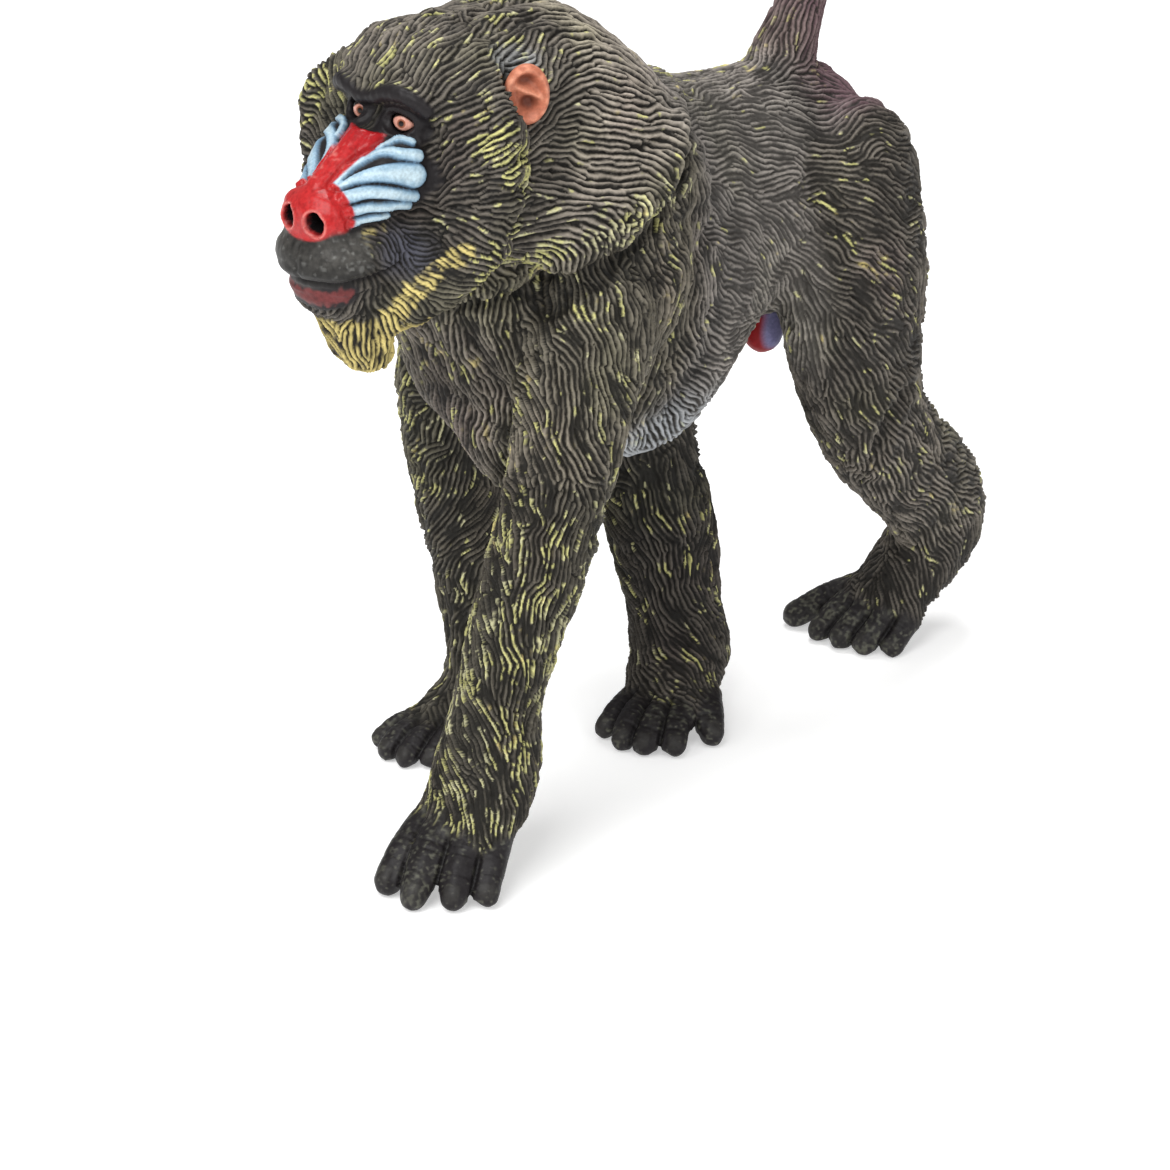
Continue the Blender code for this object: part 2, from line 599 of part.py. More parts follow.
def thin_cuts():
    """Every cut between two parts of the body."""
    left_arm, right_arm = ARM_INSIDE["left"], ARM_INSIDE["right"]
    left_thigh, right_thigh = THIGH_INSIDE["left"], THIGH_INSIDE["right"]
    cuts = [
        slab("neck_cut", NECK, [(FACE, -1)]),
        slab("head_cut", BEHIND_HEAD, [(NECK, 1)]),
        slab("face_cut", FACE, lowest=(-12, -40, 38), highest=(12, -20, 66)),
        slab("mouth_cut", MOUTH, [(FACE, 1)]),
        slab("chest_cut", CHEST, [(NECK, -1)], lowest=(-REACH, -REACH, 20)),
        slab("loin_cut", LOIN, [(right_thigh, -1)], lowest=(-REACH, -REACH, 28)),
        slab("left_arm_cut", left_arm, [(NECK, -1), (ARM_BEHIND["left"], -1)], lowest=(0, -30, 30)),
        slab("left_armpit_cut", ARM_BEHIND["left"], [(NECK, -1), (left_arm, 1), (CHEST, -1)],
             lowest=(0, -30, 28)),
        slab("right_arm_cut", right_arm, [(NECK, -1), (ARM_BEHIND["right"], -1)], lowest=(-REACH, -30, 28)),
        slab("right_armpit_cut", ARM_BEHIND["right"], [(NECK, -1), (right_arm, 1), (CHEST, -1)],
             lowest=(-REACH, -30, 26)),
        slab("left_thigh_cut", left_thigh, [(LOIN, 1)], lowest=(0, 0, 34.2)),
        slab("right_thigh_cut", right_thigh, [(THIGH_FRONT, 1)], lowest=(-REACH, 2, 20), highest=(4, 40, REACH)),
        slab("right_thigh_front_cut", THIGH_FRONT, [(right_thigh, 1)], lowest=(-REACH, 0, 22)),
        slab("tail_cut", TAIL_ROOT, **around(TAIL_ROOT, 4.5)),
        slab("genital_cut", GENITAL_ROOT, [(left_thigh, -1), (right_thigh, -1), (LOIN, 1)],
             highest=(REACH, 25, REACH)),
    ]
    for name, planes, reach in (("elbow", ELBOW, 7.0), ("wrist", WRIST, 6.0), ("knee", KNEE, 7.5),
                                ("ankle", ANKLE, 6.0)):
        cuts += [slab(f"{side}_{name}_cut", plane, **around(plane, reach)) for side, plane in planes.items()]
    return cuts


# Name, a point inside the part, colour, roughness
BODY_PARTS = [
    ("head", (0, -19.0, 61.0), MANE_FUR, 0.75),
    ("muzzle", (0, -29.0, 55.5), BLUE, 0.4),
    ("jaw", (0, -28.4, 49.0), YELLOW, 0.6),
    ("mane", (0, -7.0, 62.0), MANE_FUR, 0.75),
    ("chest", (0, -4.0, 44.0), FUR, 0.75),
    ("abdomen", (0, 10.0, 46.0), FUR, 0.75),
    ("rump", (0, 22.0, 46.0), MAUVE, 0.7),
    ("tail", (0.5, 23.6, 61.0), MAUVE, 0.7),
    ("genital_patch", (0, 19.2, 33.2), LILAC, 0.5),
    ("upper_arm_left", (10.6, -13.0, 40.0), FUR, 0.75),
    ("forearm_left", (9.8, -18.5, 23.0), FUR, 0.75),
    ("hand_left", (8.6, -23.0, 7.0), SKIN_BLACK, 0.6),
    ("upper_arm_right", (-9.8, -8.0, 38.0), FUR, 0.75),
    ("forearm_right", (-9.9, -5.2, 18.0), FUR, 0.75),
    ("hand_right", (-10.2, -7.0, 3.2), SKIN_BLACK, 0.6),
    ("thigh_left", (7.2, 24.0, 36.0), FUR, 0.75),
    ("shank_left", (5.6, 33.5, 17.6), FUR, 0.75),
    ("foot_left", (3.4, 37.6, 5.5), SKIN_BLACK, 0.6),
    ("thigh_right", (-6.2, 12.6, 31.0), FUR, 0.75),
    ("shank_right", (-4.0, 11.2, 15.5), FUR, 0.75),
    ("foot_right", (-0.8, 10.0, 4.0), SKIN_BLACK, 0.6),
]


def material(name, colour, roughness):
    paint = bpy.data.materials.new(name)
    paint.use_nodes = True
    shader = paint.node_tree.nodes["Principled BSDF"]
    shader.inputs["Base Color"].default_value = (*colour, 1)
    shader.inputs["Roughness"].default_value = roughness
    shader.inputs["Metallic"].default_value = 0
    return paint


def islands(mesh):
    """The closed pieces of a mesh, each as a bmesh of its own."""
    bm = bmesh.new()
    bm.from_mesh(mesh)
    bm.verts.ensure_lookup_table()
    label = np.full(len(bm.verts), -1)
    count = 0
    for start in range(len(label)):
        if label[start] >= 0:
            continue
        label[start] = count
        todo = [bm.verts[start]]
        while todo:
            for edge in todo.pop().link_edges:
                for vert in edge.verts:
                    if label[vert.index] < 0:
                        label[vert.index] = count
                        todo.append(vert)
        count += 1
    bm.free()
    out = []
    for k in range(count):
        piece = bmesh.new()
        piece.from_mesh(mesh)
        piece.verts.ensure_lookup_table()
        gone = [piece.verts[i] for i in np.flatnonzero(label != k)]
        bmesh.ops.delete(piece, geom=gone, context="VERTS")
        out.append(piece)
    return out


def crossings(tree, start, ray):
    """How often a ray meets the surface."""
    count = 0
    while True:
        place, _, index, _ = tree.ray_cast(start, ray)
        if index is None:
            return count
        count += 1
        start = place + ray * RAY_STEP * MM


def holds(piece, point):
    """True where the point is inside the closed piece: most rays from it leave an odd number of times."""
    tree = BVHTree.FromBMesh(piece)
    rays = [Vector(way).normalized() for way in ((0.31, 0.22, 0.93), (-0.54, 0.37, 0.76), (0.17, -0.88, 0.45))]
    return sum(crossings(tree, Vector(point) * MM, ray) % 2 for ray in rays) >= 2


def part_body(skin, parts):
    """Cuts the skin into its parts, one object each."""
    pieces = islands(skin.data)
    for name, inside, colour, roughness in BODY_PARTS:
        piece = next(p for p in pieces if holds(p, inside))
        bmesh.ops.triangulate(piece, faces=piece.faces[:])
        bmesh.ops.recalc_face_normals(piece, faces=piece.faces[:])
        mesh = bpy.data.meshes.new(name)
        piece.to_mesh(mesh)
        mesh.materials.append(material(name, colour, roughness))
        parts.objects.link(bpy.data.objects.new(name, mesh))
    for piece in pieces:
        piece.free()


def add_eyes_and_ears(parts, cutters):
    for side, word in ((1, "left"), (-1, "right")):
        eye = ball_object(f"eye_{word}", beside(EYE_PLACE, side), [EYE_RADIUS] * 3)
        eye.data.materials.append(material(eye.name, AMBER, 0.25))
        eye.data.shade_smooth()
        parts.objects.link(eye)
        ear = ball_object(f"ear_{word}", EAR_PLACES[side], EAR_SIZE, ear_turn(side))
        out = ear_turn(side) @ Vector((side, 0, 0))
        cup_place = Vector(EAR_PLACES[side]) + out * EAR_SIZE[0]
        parts.objects.link(ear)
        boolean(ear, [ball_object("ear_cup", cup_place, EAR_CUP_SIZE, ear_turn(side))], "DIFFERENCE", cutters)
        ear.data.materials.clear()
        ear.data.materials.append(material(ear.name, SALMON, 0.5))


def centre_on_floor(parts):
    """Puts the middle of the toy's box at the origin, standing on z = 0."""
    corners = np.concatenate([points_and_normals(obj.data)[0] for obj in parts.objects])
    shift = -(corners.min(axis=0) + corners.max(axis=0)) / 2
    shift[2] = -corners[:, 2].min()
    for obj in parts.objects:
        obj.data.transform(Matrix.Translation(Vector(shift) * MM))
    return shift


def main():
    clear_scene()
    parts = make_collection("mandrill_figurine")
    cutters = make_collection("cutters")
    skin = fused(block_out(), parts)
    sculpt_locks(skin)
    thin_out(skin)
    flatten_soles(skin)
    tree = BVHTree.FromObject(skin, bpy.context.evaluated_depsgraph_get())
    boolean(skin, pockets() + cheek_grooves(tree), "DIFFERENCE", cutters)
    boolean(skin, thin_cuts(), "DIFFERENCE", cutters)
    part_body(skin, parts)
    bpy.data.objects.remove(skin)
    add_eyes_and_ears(parts, cutters)
    return centre_on_floor(parts)


PLACED = main()
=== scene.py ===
# Painted plastic toy figurine of a male mandrill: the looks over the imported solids.
#
# The solids of the body are fused to one skin, the skin is sculpted with strokes, carved with fur and
# painted, and is then parted again so that each piece stands for the solid that it grew from. Sizes
# below are in millimetres, in the space that the figure was laid out in: it faces -Y, its left side
# is +X, and it stands on z = 0. A feature of the left side is mirrored for the right one.

import math
from types import SimpleNamespace

import bmesh
import bpy
import numpy as np
from mathutils import Matrix, Vector
from mathutils.bvhtree import BVHTree

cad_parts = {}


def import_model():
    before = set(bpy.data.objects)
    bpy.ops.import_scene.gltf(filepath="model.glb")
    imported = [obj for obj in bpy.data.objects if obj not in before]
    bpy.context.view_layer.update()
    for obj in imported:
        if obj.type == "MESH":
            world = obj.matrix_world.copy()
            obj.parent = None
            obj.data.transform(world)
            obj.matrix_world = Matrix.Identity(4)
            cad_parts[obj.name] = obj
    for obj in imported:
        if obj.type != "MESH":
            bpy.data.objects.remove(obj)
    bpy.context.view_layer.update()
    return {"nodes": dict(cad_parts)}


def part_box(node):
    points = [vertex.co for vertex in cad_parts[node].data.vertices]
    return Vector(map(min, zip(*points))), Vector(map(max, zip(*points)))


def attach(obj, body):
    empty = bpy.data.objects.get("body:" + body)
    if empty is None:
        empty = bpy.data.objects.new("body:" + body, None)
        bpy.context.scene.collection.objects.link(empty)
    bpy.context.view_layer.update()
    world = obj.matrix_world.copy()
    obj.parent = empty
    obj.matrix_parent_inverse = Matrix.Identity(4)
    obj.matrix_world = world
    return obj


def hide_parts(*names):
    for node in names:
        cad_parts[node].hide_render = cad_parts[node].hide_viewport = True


MM = 0.001
SIDES = {1: "left", -1: "right"}
EYE_PLACE = np.array((2.2, -23.6, 62.9))

# Skin
CUT_REACH = 0.55         # how far across a thin cut the next part may be
CUT_CLOSE = 0.22         # how far the faces of a cut move to meet
SKIN_VOXEL = 0.29
SMOOTH_ROUNDS = 20
SMOOTH_STEPS = (1, -0.85)    # in and out again, so that the skin keeps its volume
CHART_TRIANGLES = 9000

# Fur
FUR_DEPTH_MIDDLE = 0.82  # height of the fur that lies on the smooth skin
LOCK_PITCH = 2.1
LOCK_DEPTH = 0.2
LOCK_REACH = 3.0
LOCK_ROUNDS = 3
LOCK_KERNELS = 7         # one kernel in so many carries a lock
KERNEL_REACH = 1.1
KERNELS = 26000
ALIGN_ROUNDS = 6
STYLE_ROUNDS = 45        # of evening out between the parts
FLOW_ROUNDS = 60

# Each part with its slot and its fur: light of the dry-brushed ridges, light of the grooves (dark paint that
# is also painted shade between the ridges), share of yellow-green flecks, depth, pitch, and how short and
# unruly the strands are
DEPTH, PITCH, UNRULY = 3, 4, 5     # places of the last three among the six
PARTS = {
    "head": ("mane_fur", 0.19, 0.012, 0.38, 0.34, 0.50, 0.4),
    "mane": ("mane_fur", 0.37, 0.014, 0.20, 0.42, 0.57, 0.12),
    "muzzle": ("muzzle_paint", 0.09, 0.010, -0.40, 0.18, 0.42, 0.7),
    "jaw": ("beard_paint", 0.13, 0.010, -0.10, 0.28, 0.46, 0.7),
    "chest": ("body_fur", 0.24, 0.020, 0.22, 0.34, 0.50, 0.7),
    "abdomen": ("body_fur", 0.25, 0.050, 0.12, 0.26, 0.46, 0.75),
    "rump": ("rump_paint", 0.25, 0.026, 0.28, 0.36, 0.52, 0.7),
    "tail": ("rump_paint", 0.22, 0.024, 0.22, 0.32, 0.50, 0.6),
    "genital_patch": ("patch_paint", 0.20, 0.030, 0.0, 0.1, 0.5, 0.5),
    "upper_arm_left": ("body_fur", 0.18, 0.014, 0.42, 0.38, 0.50, 0.85),
    "forearm_left": ("body_fur", 0.09, 0.012, 0.84, 0.38, 0.47, 1.0),
    "hand_left": ("bare_skin", 0.09, 0.012, 0.80, 0.30, 0.46, 1.0),
    "upper_arm_right": ("body_fur", 0.13, 0.012, 0.56, 0.34, 0.50, 0.9),
    "forearm_right": ("body_fur", 0.10, 0.012, 0.56, 0.34, 0.48, 1.0),
    "hand_right": ("bare_skin", 0.09, 0.012, 0.42, 0.26, 0.46, 1.0),
    "thigh_left": ("body_fur", 0.15, 0.020, 0.32, 0.36, 0.50, 0.85),
    "shank_left": ("body_fur", 0.20, 0.020, 0.28, 0.36, 0.48, 0.9),
    "foot_left": ("bare_skin", 0.11, 0.014, 0.34, 0.26, 0.46, 1.0),
    "thigh_right": ("body_fur", 0.10, 0.012, 0.30, 0.34, 0.50, 0.9),
    "shank_right": ("body_fur", 0.08, 0.009, 0.40, 0.36, 0.48, 1.0),
    "foot_right": ("bare_skin", 0.10, 0.012, 0.46, 0.26, 0.46, 1.0),
}
NAMES = list(PARTS)
STYLE = np.array([row[1:] for row in PARTS.values()])
LIMBS = [[f"{part}_{side}" for part in limb]
         for limb in (("upper_arm", "forearm", "hand"), ("thigh", "shank", "foot"))
         for side in SIDES.values()]


# Small tools

def ramp(values, start, end):
    """0 before start, 1 after end, and smooth between; runs backwards where end is less than start."""
    t = np.clip((values - start) / (end - start), 0, 1)
    return t * t * (3 - 2 * t)


def bell(values, middle, width):
    """1 at the middle and less to both sides."""
    return np.exp(-((values - middle) / width) ** 2)


def unit(v):
    return v / np.maximum(np.linalg.norm(v, axis=-1, keepdims=True), 1e-9)


def rows(*columns):
    return np.stack(np.broadcast_arrays(*columns), 1)


def lattice_noise(p, scale, seed):
    """Smooth random values from -1 to 1 that change over about `scale` mm. Each use has its own seed."""
    q = p / scale
    cell = np.floor(q).astype(np.int64)
    f = q - cell
    f = f * f * (3 - 2 * f)
    out = np.zeros(len(p))
    for corner in range(8):
        bits = np.array((corner & 1, corner >> 1 & 1, corner >> 2 & 1))
        k = cell + bits
        h = (k[:, 0] * 73856093) ^ (k[:, 1] * 19349663) ^ (k[:, 2] * 83492791) ^ (seed * 2654435761)
        h &= 0xFFFFFFFF
        h = ((h ^ (h >> 15)) * 2246822519) & 0xFFFFFFFF
        h = ((h ^ (h >> 13)) * 3266489917) & 0xFFFFFFFF
        h ^= h >> 16
        weight = np.prod(np.where(bits, f, 1 - f), axis=1)
        out += weight * (h / 2147483648.0 - 1.0)
    return out


def oval(points, place, radii):
    """Distance from a place in units of three radii: 1 on the oval."""
    return np.linalg.norm((points - np.array(place)) / np.array(radii), axis=1)


def spot(points, place, radii, edge, core):
    """0 beyond the edge of an oval and 1 within its core, both in units of its radii."""
    return ramp(oval(points, place, radii), edge, core)


def spots(points, place, radii, edge, core):
    """The same on both sides of the figure."""
    return np.maximum(*(spot(points, np.array(place) * (side, 1, 1), radii, edge, core) for side in SIDES))


def read(items, key, width, kind=np.float32):
    values = np.empty(len(items) * width, dtype=kind)
    items.foreach_get(key, values)
    return values


def mesh_points(mesh):
    return read(mesh.vertices, "co", 3).reshape(-1, 3).astype(float)


def mesh_normals(mesh):
    return read(mesh.vertex_normals, "vector", 3).reshape(-1, 3).astype(float)


def mesh_edges(mesh):
    return read(mesh.edges, "vertices", 2, np.int32).reshape(-1, 2)


def mesh_faces(mesh, corners):
    return read(mesh.loops, "vertex_index", 1, np.int32).reshape(-1, corners)


def set_points(mesh, points):
    mesh.vertices.foreach_set("co", points.astype(np.float32).ravel())
    mesh.update()


def spread(values, edges, rounds, factor=0.5):
    """Evens out values between neighbouring vertices."""
    count = len(values)
    a, b = edges[:, 0], edges[:, 1]
    total = np.maximum(np.bincount(a, minlength=count) + np.bincount(b, minlength=count), 1)
    values = values.copy()
    for _ in range(rounds):
        for axis in range(values.shape[1]):
            v = values[:, axis]
            mean = (np.bincount(a, v[b], count) + np.bincount(b, v[a], count)) / total
            values[:, axis] = v + factor * (mean - v)
    return values


def add_object(name, data):
    obj = bpy.data.objects.new(name, data)
    bpy.context.scene.collection.objects.link(obj)
    return obj


def bake_modifiers(obj):
    old = obj.data
    graph = bpy.context.evaluated_depsgraph_get()
    obj.data = bpy.data.meshes.new_from_object(obj.evaluated_get(graph), depsgraph=graph)
    obj.modifiers.clear()
    bpy.data.meshes.remove(old)


def globe(rings, columns):
    """Unit sphere as a grid with its poles on the X axis: points and faces."""
    points, faces = [(1.0, 0.0, 0.0)], []
    for i in range(1, rings):
        a = math.pi * i / rings
        for j in range(columns):
            b = 2 * math.pi * j / columns
            points.append((math.cos(a), math.sin(a) * math.cos(b), math.sin(a) * math.sin(b)))
    points.append((-1.0, 0.0, 0.0))
    for j in range(columns):
        faces.append((0, 1 + j, 1 + (j + 1) % columns))
        for i in range(rings - 2):
            a = 1 + i * columns
            b = a + columns
            faces.append((a + j, b + j, b + (j + 1) % columns, a + (j + 1) % columns))
        last = 1 + (rings - 2) * columns
        faces.append((len(points) - 1, last + (j + 1) % columns, last + j))
    return np.array(points), faces


# The skin

def gather_solids(nodes, shift):
    """Corners and triangles of the solids of the body, in layout millimetres, and whose each triangle is."""
    corners, triangles, owner = [], [], []
    count = 0
    for k, name in enumerate(NAMES):
        bm = bmesh.new()
        bm.from_mesh(nodes[name].data)
        bmesh.ops.remove_doubles(bm, verts=bm.verts[:], dist=0.002 * MM)
        bmesh.ops.triangulate(bm, faces=bm.faces[:])
        bm.verts.index_update()
        corners.append(np.array([v.co[:] for v in bm.verts]) / MM - shift)
        triangles.append(np.array([[v.index for v in f.verts] for f in bm.faces]) + count)
        owner.append(np.full(len(bm.faces), k))
        count += len(bm.verts)
        bm.free()
    return np.concatenate(corners), np.concatenate(triangles), np.concatenate(owner)


def close_cuts(corners, triangles, owner, tree):
    """Moves the faces of each thin cut on past its middle, so that the parts meet."""
    a, b, c = (corners[triangles[:, i]] for i in range(3))
    facing = unit(np.cross(b - a, c - a))
    push = np.zeros_like(corners)
    for tri, centre, way, own in zip(triangles, (a + b + c) / 3, facing, owner):
        _, normal, index, _ = tree.ray_cast(Vector(centre + way * 0.01), Vector(way), CUT_REACH)
        if index is not None and owner[index] != own and normal.dot(Vector(way)) < -0.5:
            push[tri] += way
    return corners + unit(push) * CUT_CLOSE


# Fur that hangs from the chest between the arms: an oval's place, and its half axes down, ahead and across
CHEST_DROP = (0.6, -14.3, 37.6)
CHEST_DROP_AXES = np.array(((4.0, 0.0, -7.6), (0.0, -3.4, 0.0), (3.2, 0.0, 1.7)))


def fuse(corners, triangles):
    """The solids of the body and the hanging fur of the chest as one closed skin, in layout millimetres."""
    hanging, faces = globe(24, 32)
    hanging = hanging @ CHEST_DROP_AXES + CHEST_DROP
    faces = triangles.tolist() + [[i + len(corners) for i in face] for face in faces]
    mesh = bpy.data.meshes.new("skin")
    mesh.from_pydata(np.concatenate([corners, hanging]).tolist(), [], faces)
    obj = add_object("skin", mesh)
    remesh = obj.modifiers.new("Fuse", "REMESH")
    remesh.mode = "VOXEL"
    remesh.voxel_size = SKIN_VOXEL
    bake_modifiers(obj)
    return obj


def soften(mesh):
    """Smooths off the facets of the solids, the face and the fingertips less than the body."""
    edges = mesh_edges(mesh)
    smooth = mesh_points(mesh)
    face = ramp(smooth[:, 1], -20.0, -24.0) * ramp(smooth[:, 2], 40.0, 44.0)
    tips = ramp(smooth[:, 2], 9.0, 5.0)
    share = 1 - np.maximum(face * 0.7, tips * 0.5)[:, None]
    for _ in range(SMOOTH_ROUNDS):
        for step in SMOOTH_STEPS:
            smooth = smooth + (spread(smooth, edges, 1) - smooth) * step * share
    set_points(mesh, spread(smooth, edges, 3))


# Strokes: lines on the skin that raise or sink it

def mirrored(path):
    return [(-p[0], p[1], p[2]) for p in path]


def curve(path, count=6):
    """A smooth polyline through the points."""
    points = np.array([path[0]] + list(path) + [path[-1]], dtype=float)
    out = []
    for before, start, end, after in zip(points, points[1:], points[2:], points[3:]):
        for t in np.linspace(0, 1, count, endpoint=False):
            out.append(0.5 * (2 * start + (end - before) * t
                              + (2 * before - 5 * start + 4 * end - after) * t ** 2
                              + (3 * start - 3 * end + after - before) * t ** 3))
    return np.array(out + [points[-1]])


def on_skin(tree, path):
    """The smooth polyline through the points, laid on the skin."""
    return np.array([tree.find_nearest(Vector(p))[0][:] for p in curve(path)])


def near_line(points, line, reach):
    """Numbers of the points in the line's box, widened by the reach."""
    return np.flatnonzero(np.all((points > line.min(0) - reach) & (points < line.max(0) + reach), axis=1))


def path_offset(points, path):
    """Step to each point from the nearest place on a polyline, and how far along that is, 0 to 1."""
    best = np.full(len(points), 1e9)
    along = np.zeros(len(points))
    offset = np.zeros_like(points)
    lengths = np.linalg.norm(np.diff(path, axis=0), axis=1)
    start = np.concatenate(([0], np.cumsum(lengths)))
    for k in range(len(path) - 1):
        a, d = path[k], path[k + 1] - path[k]
        t = np.clip((points - a) @ d / max(d @ d, 1e-12), 0, 1)
        step = points - a - t[:, None] * d
        dist = np.linalg.norm(step, axis=1)
        closer = dist < best
        best[closer] = dist[closer]
        offset[closer] = step[closer]
        along[closer] = (start[k] + t[closer] * lengths[k]) / max(start[-1], 1e-9)
    return offset, along


def stroke(points, tree, path, near_width, far_width):
    """1 along a line, 0 at its half width, which changes from end to end, and less beyond."""
    line = on_skin(tree, path)
    out = np.full(len(points), -9.0)
    here = near_line(points, line, max(near_width, far_width) * 3.5)
    offset, along = path_offset(points[here], line)
    out[here] = 1 - np.linalg.norm(offset, axis=1) / (near_width + (far_width - near_width) * along)
    return out


def strokes(points, tree, path, near_width, far_width):
    """The same on both sides of the figure."""
    return np.maximum(*(stroke(points, tree, p, near_width, far_width) for p in (path, mirrored(path))))


# Large forms: lower edge of the mane, valley behind the ruff, and folds of the limbs
MANE_MARGIN = [(1.5, 7.6, 58.9), (5.9, 4.1, 58.6), (10.2, -0.6, 58.8), (12.1, -2.5, 57.4), (12.6, -5.0, 54.6),
               (12.9, -8.9, 52.6), (12.1, -12.5, 50.9), (9.8, -15.0, 49.6), (8.2, -17.8, 48.9),
               (6.4, -21.0, 48.2)]
MARGIN_SIDE = np.array((0.0, 0.6, -0.8))
MARGIN_REACH = 3
MARGIN_RISE = 0.55
MARGIN_SINK = 0.6
RUFF_VALLEY = [(4.5, -14.8, 69.0), (8.2, -17.2, 67.8), (10.1, -18.8, 65.5), (10.8, -19.6, 62.5),
               (11.1, -19.8, 59.5), (11.1, -20.0, 57.0), (10.6, -21.0, 55.0)]
RUFF_VALLEY_WIDTH = 1.1
RUFF_VALLEY_DEPTH = 0.3
FOLDS = [  # line, half width, depth
    ([(11.4, 25.5, 28.4), (11.3, 24.1, 27.0), (10.7, 23.5, 24.7), (9.6, 23.5, 22.3)], 0.9, 0.5),
    ([(9.4, 16.0, 39.2), (10.6, 17.3, 35.5), (10.9, 18.9, 32.0), (10.9, 20.5, 29.3)], 1.5, 0.35),
    ([(8.6, 17.0, 49.5), (10.2, 17.4, 46.0), (10.9, 17.8, 42.0), (11.4, 19.4, 38.0)], 1.6, 0.35),
    ([(10.1, -20.3, 33.2), (12.9, -19.5, 33.4), (14.3, -18.2, 33.2), (15.0, -16.1, 33.3)], 0.9, 0.3),
    ([(4.6, -20.4, 47.0), (5.2, -19.4, 43.0), (5.9, -18.6, 38.5), (6.6, -18.4, 34.0)], 1.3, 0.35),
    ([(13.4, -9.0, 49.5), (14.4, -7.6, 44.0), (14.3, -7.2, 39.0), (13.6, -8.6, 34.0)], 1.7, 0.3),
    ([(10.9, 6.0, 50.0), (11.3, 4.0, 44.0), (10.6, 1.5, 38.0), (8.6, -1.0, 32.0)], 2.0, 0.25),
]
BRIDGE = ((0, -25.2, 63.1), (1.7, 2.2, 1.7))         # dip between the eyes
BRIDGE_DEPTH = 0.5
ARMPIT = ((5.9, -15.6, 35.2), (2.6, 2.6, 2.4))       # where the chest swells against the left arm
ARMPIT_RISE = 1.2


def shape_skin(mesh, tree):
    """Large forms on the softened skin, and how much of the mane's edge shades each vertex."""
    points, normals = mesh_points(mesh), mesh_normals(mesh)
    raise_by = np.zeros(len(points))
    shade = np.zeros(len(points))
    for path in (MANE_MARGIN, mirrored(MANE_MARGIN)):
        line = on_skin(tree, path)
        here = near_line(points, line, MARGIN_REACH)
        offset, along = path_offset(points[here], line)
        out = offset @ MARGIN_SIDE
        near = ramp(np.linalg.norm(offset, axis=1), 3.2, 1.8) * (0.35 + 0.65 * ramp(along, 0.0, 0.3))
        raise_by[here] += near * (MARGIN_RISE * bell(out, -0.9, 0.9) - MARGIN_SINK * bell(out, 0.5, 0.55))
        shade[here] = np.maximum(shade[here], near * bell(out, 0.6, 0.75))
    valley = strokes(points, tree, RUFF_VALLEY, RUFF_VALLEY_WIDTH, RUFF_VALLEY_WIDTH)
    raise_by -= RUFF_VALLEY_DEPTH * ramp(valley, -0.3, 0.9)
    shade = np.maximum(shade, 0.6 * ramp(valley, 0.1, 0.9))
    for path, width, depth in FOLDS:
        fold = stroke(points, tree, path, width, width)
        raise_by -= depth * ramp(fold, -0.2, 0.9)
        raise_by += 0.5 * depth * bell(fold, -0.7, 0.5) * (fold > -3)
        shade = np.maximum(shade, 0.5 * ramp(fold, 0.0, 0.9))
    raise_by -= BRIDGE_DEPTH * spot(points, *BRIDGE, 1.0, 0.4)
    raise_by += ARMPIT_RISE * spot(points, *ARMPIT, 1.0, 0.2)
    set_points(mesh, points + normals * raise_by[:, None])
    return shade


# Fields on the skin

def centres(nodes, shift):
    out = {}
    for name in nodes:
        lo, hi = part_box(name)
        out[name] = (np.array(lo) + np.array(hi)) / 2 / MM - shift
    return out


def on_parts(owner, *names):
    return np.isin(owner, [NAMES.index(n) for n in names])


def group_shares(owner, points, edges):
    """How much each vertex is on the trunk, the rear, the patch and the arms."""
    sets = (("chest", "abdomen", "mane", "rump"), ("rump", "tail"), ("genital_patch",), LIMBS[0] + LIMBS[1])
    groups = np.stack([on_parts(owner, *names).astype(float) for names in sets], 1)
    groups[:, [0, 1, 3]] = spread(groups[:, [0, 1, 3]], edges, STYLE_ROUNDS)
    groups[:, 1] *= ramp(points[:, 1], 18.5, 24.5)
    return groups


FACE_CENTRE = np.array((0.0, -31.0, 57.5))
NAPE = (-22.0, 62.0)     # y and z that the mane fans out from


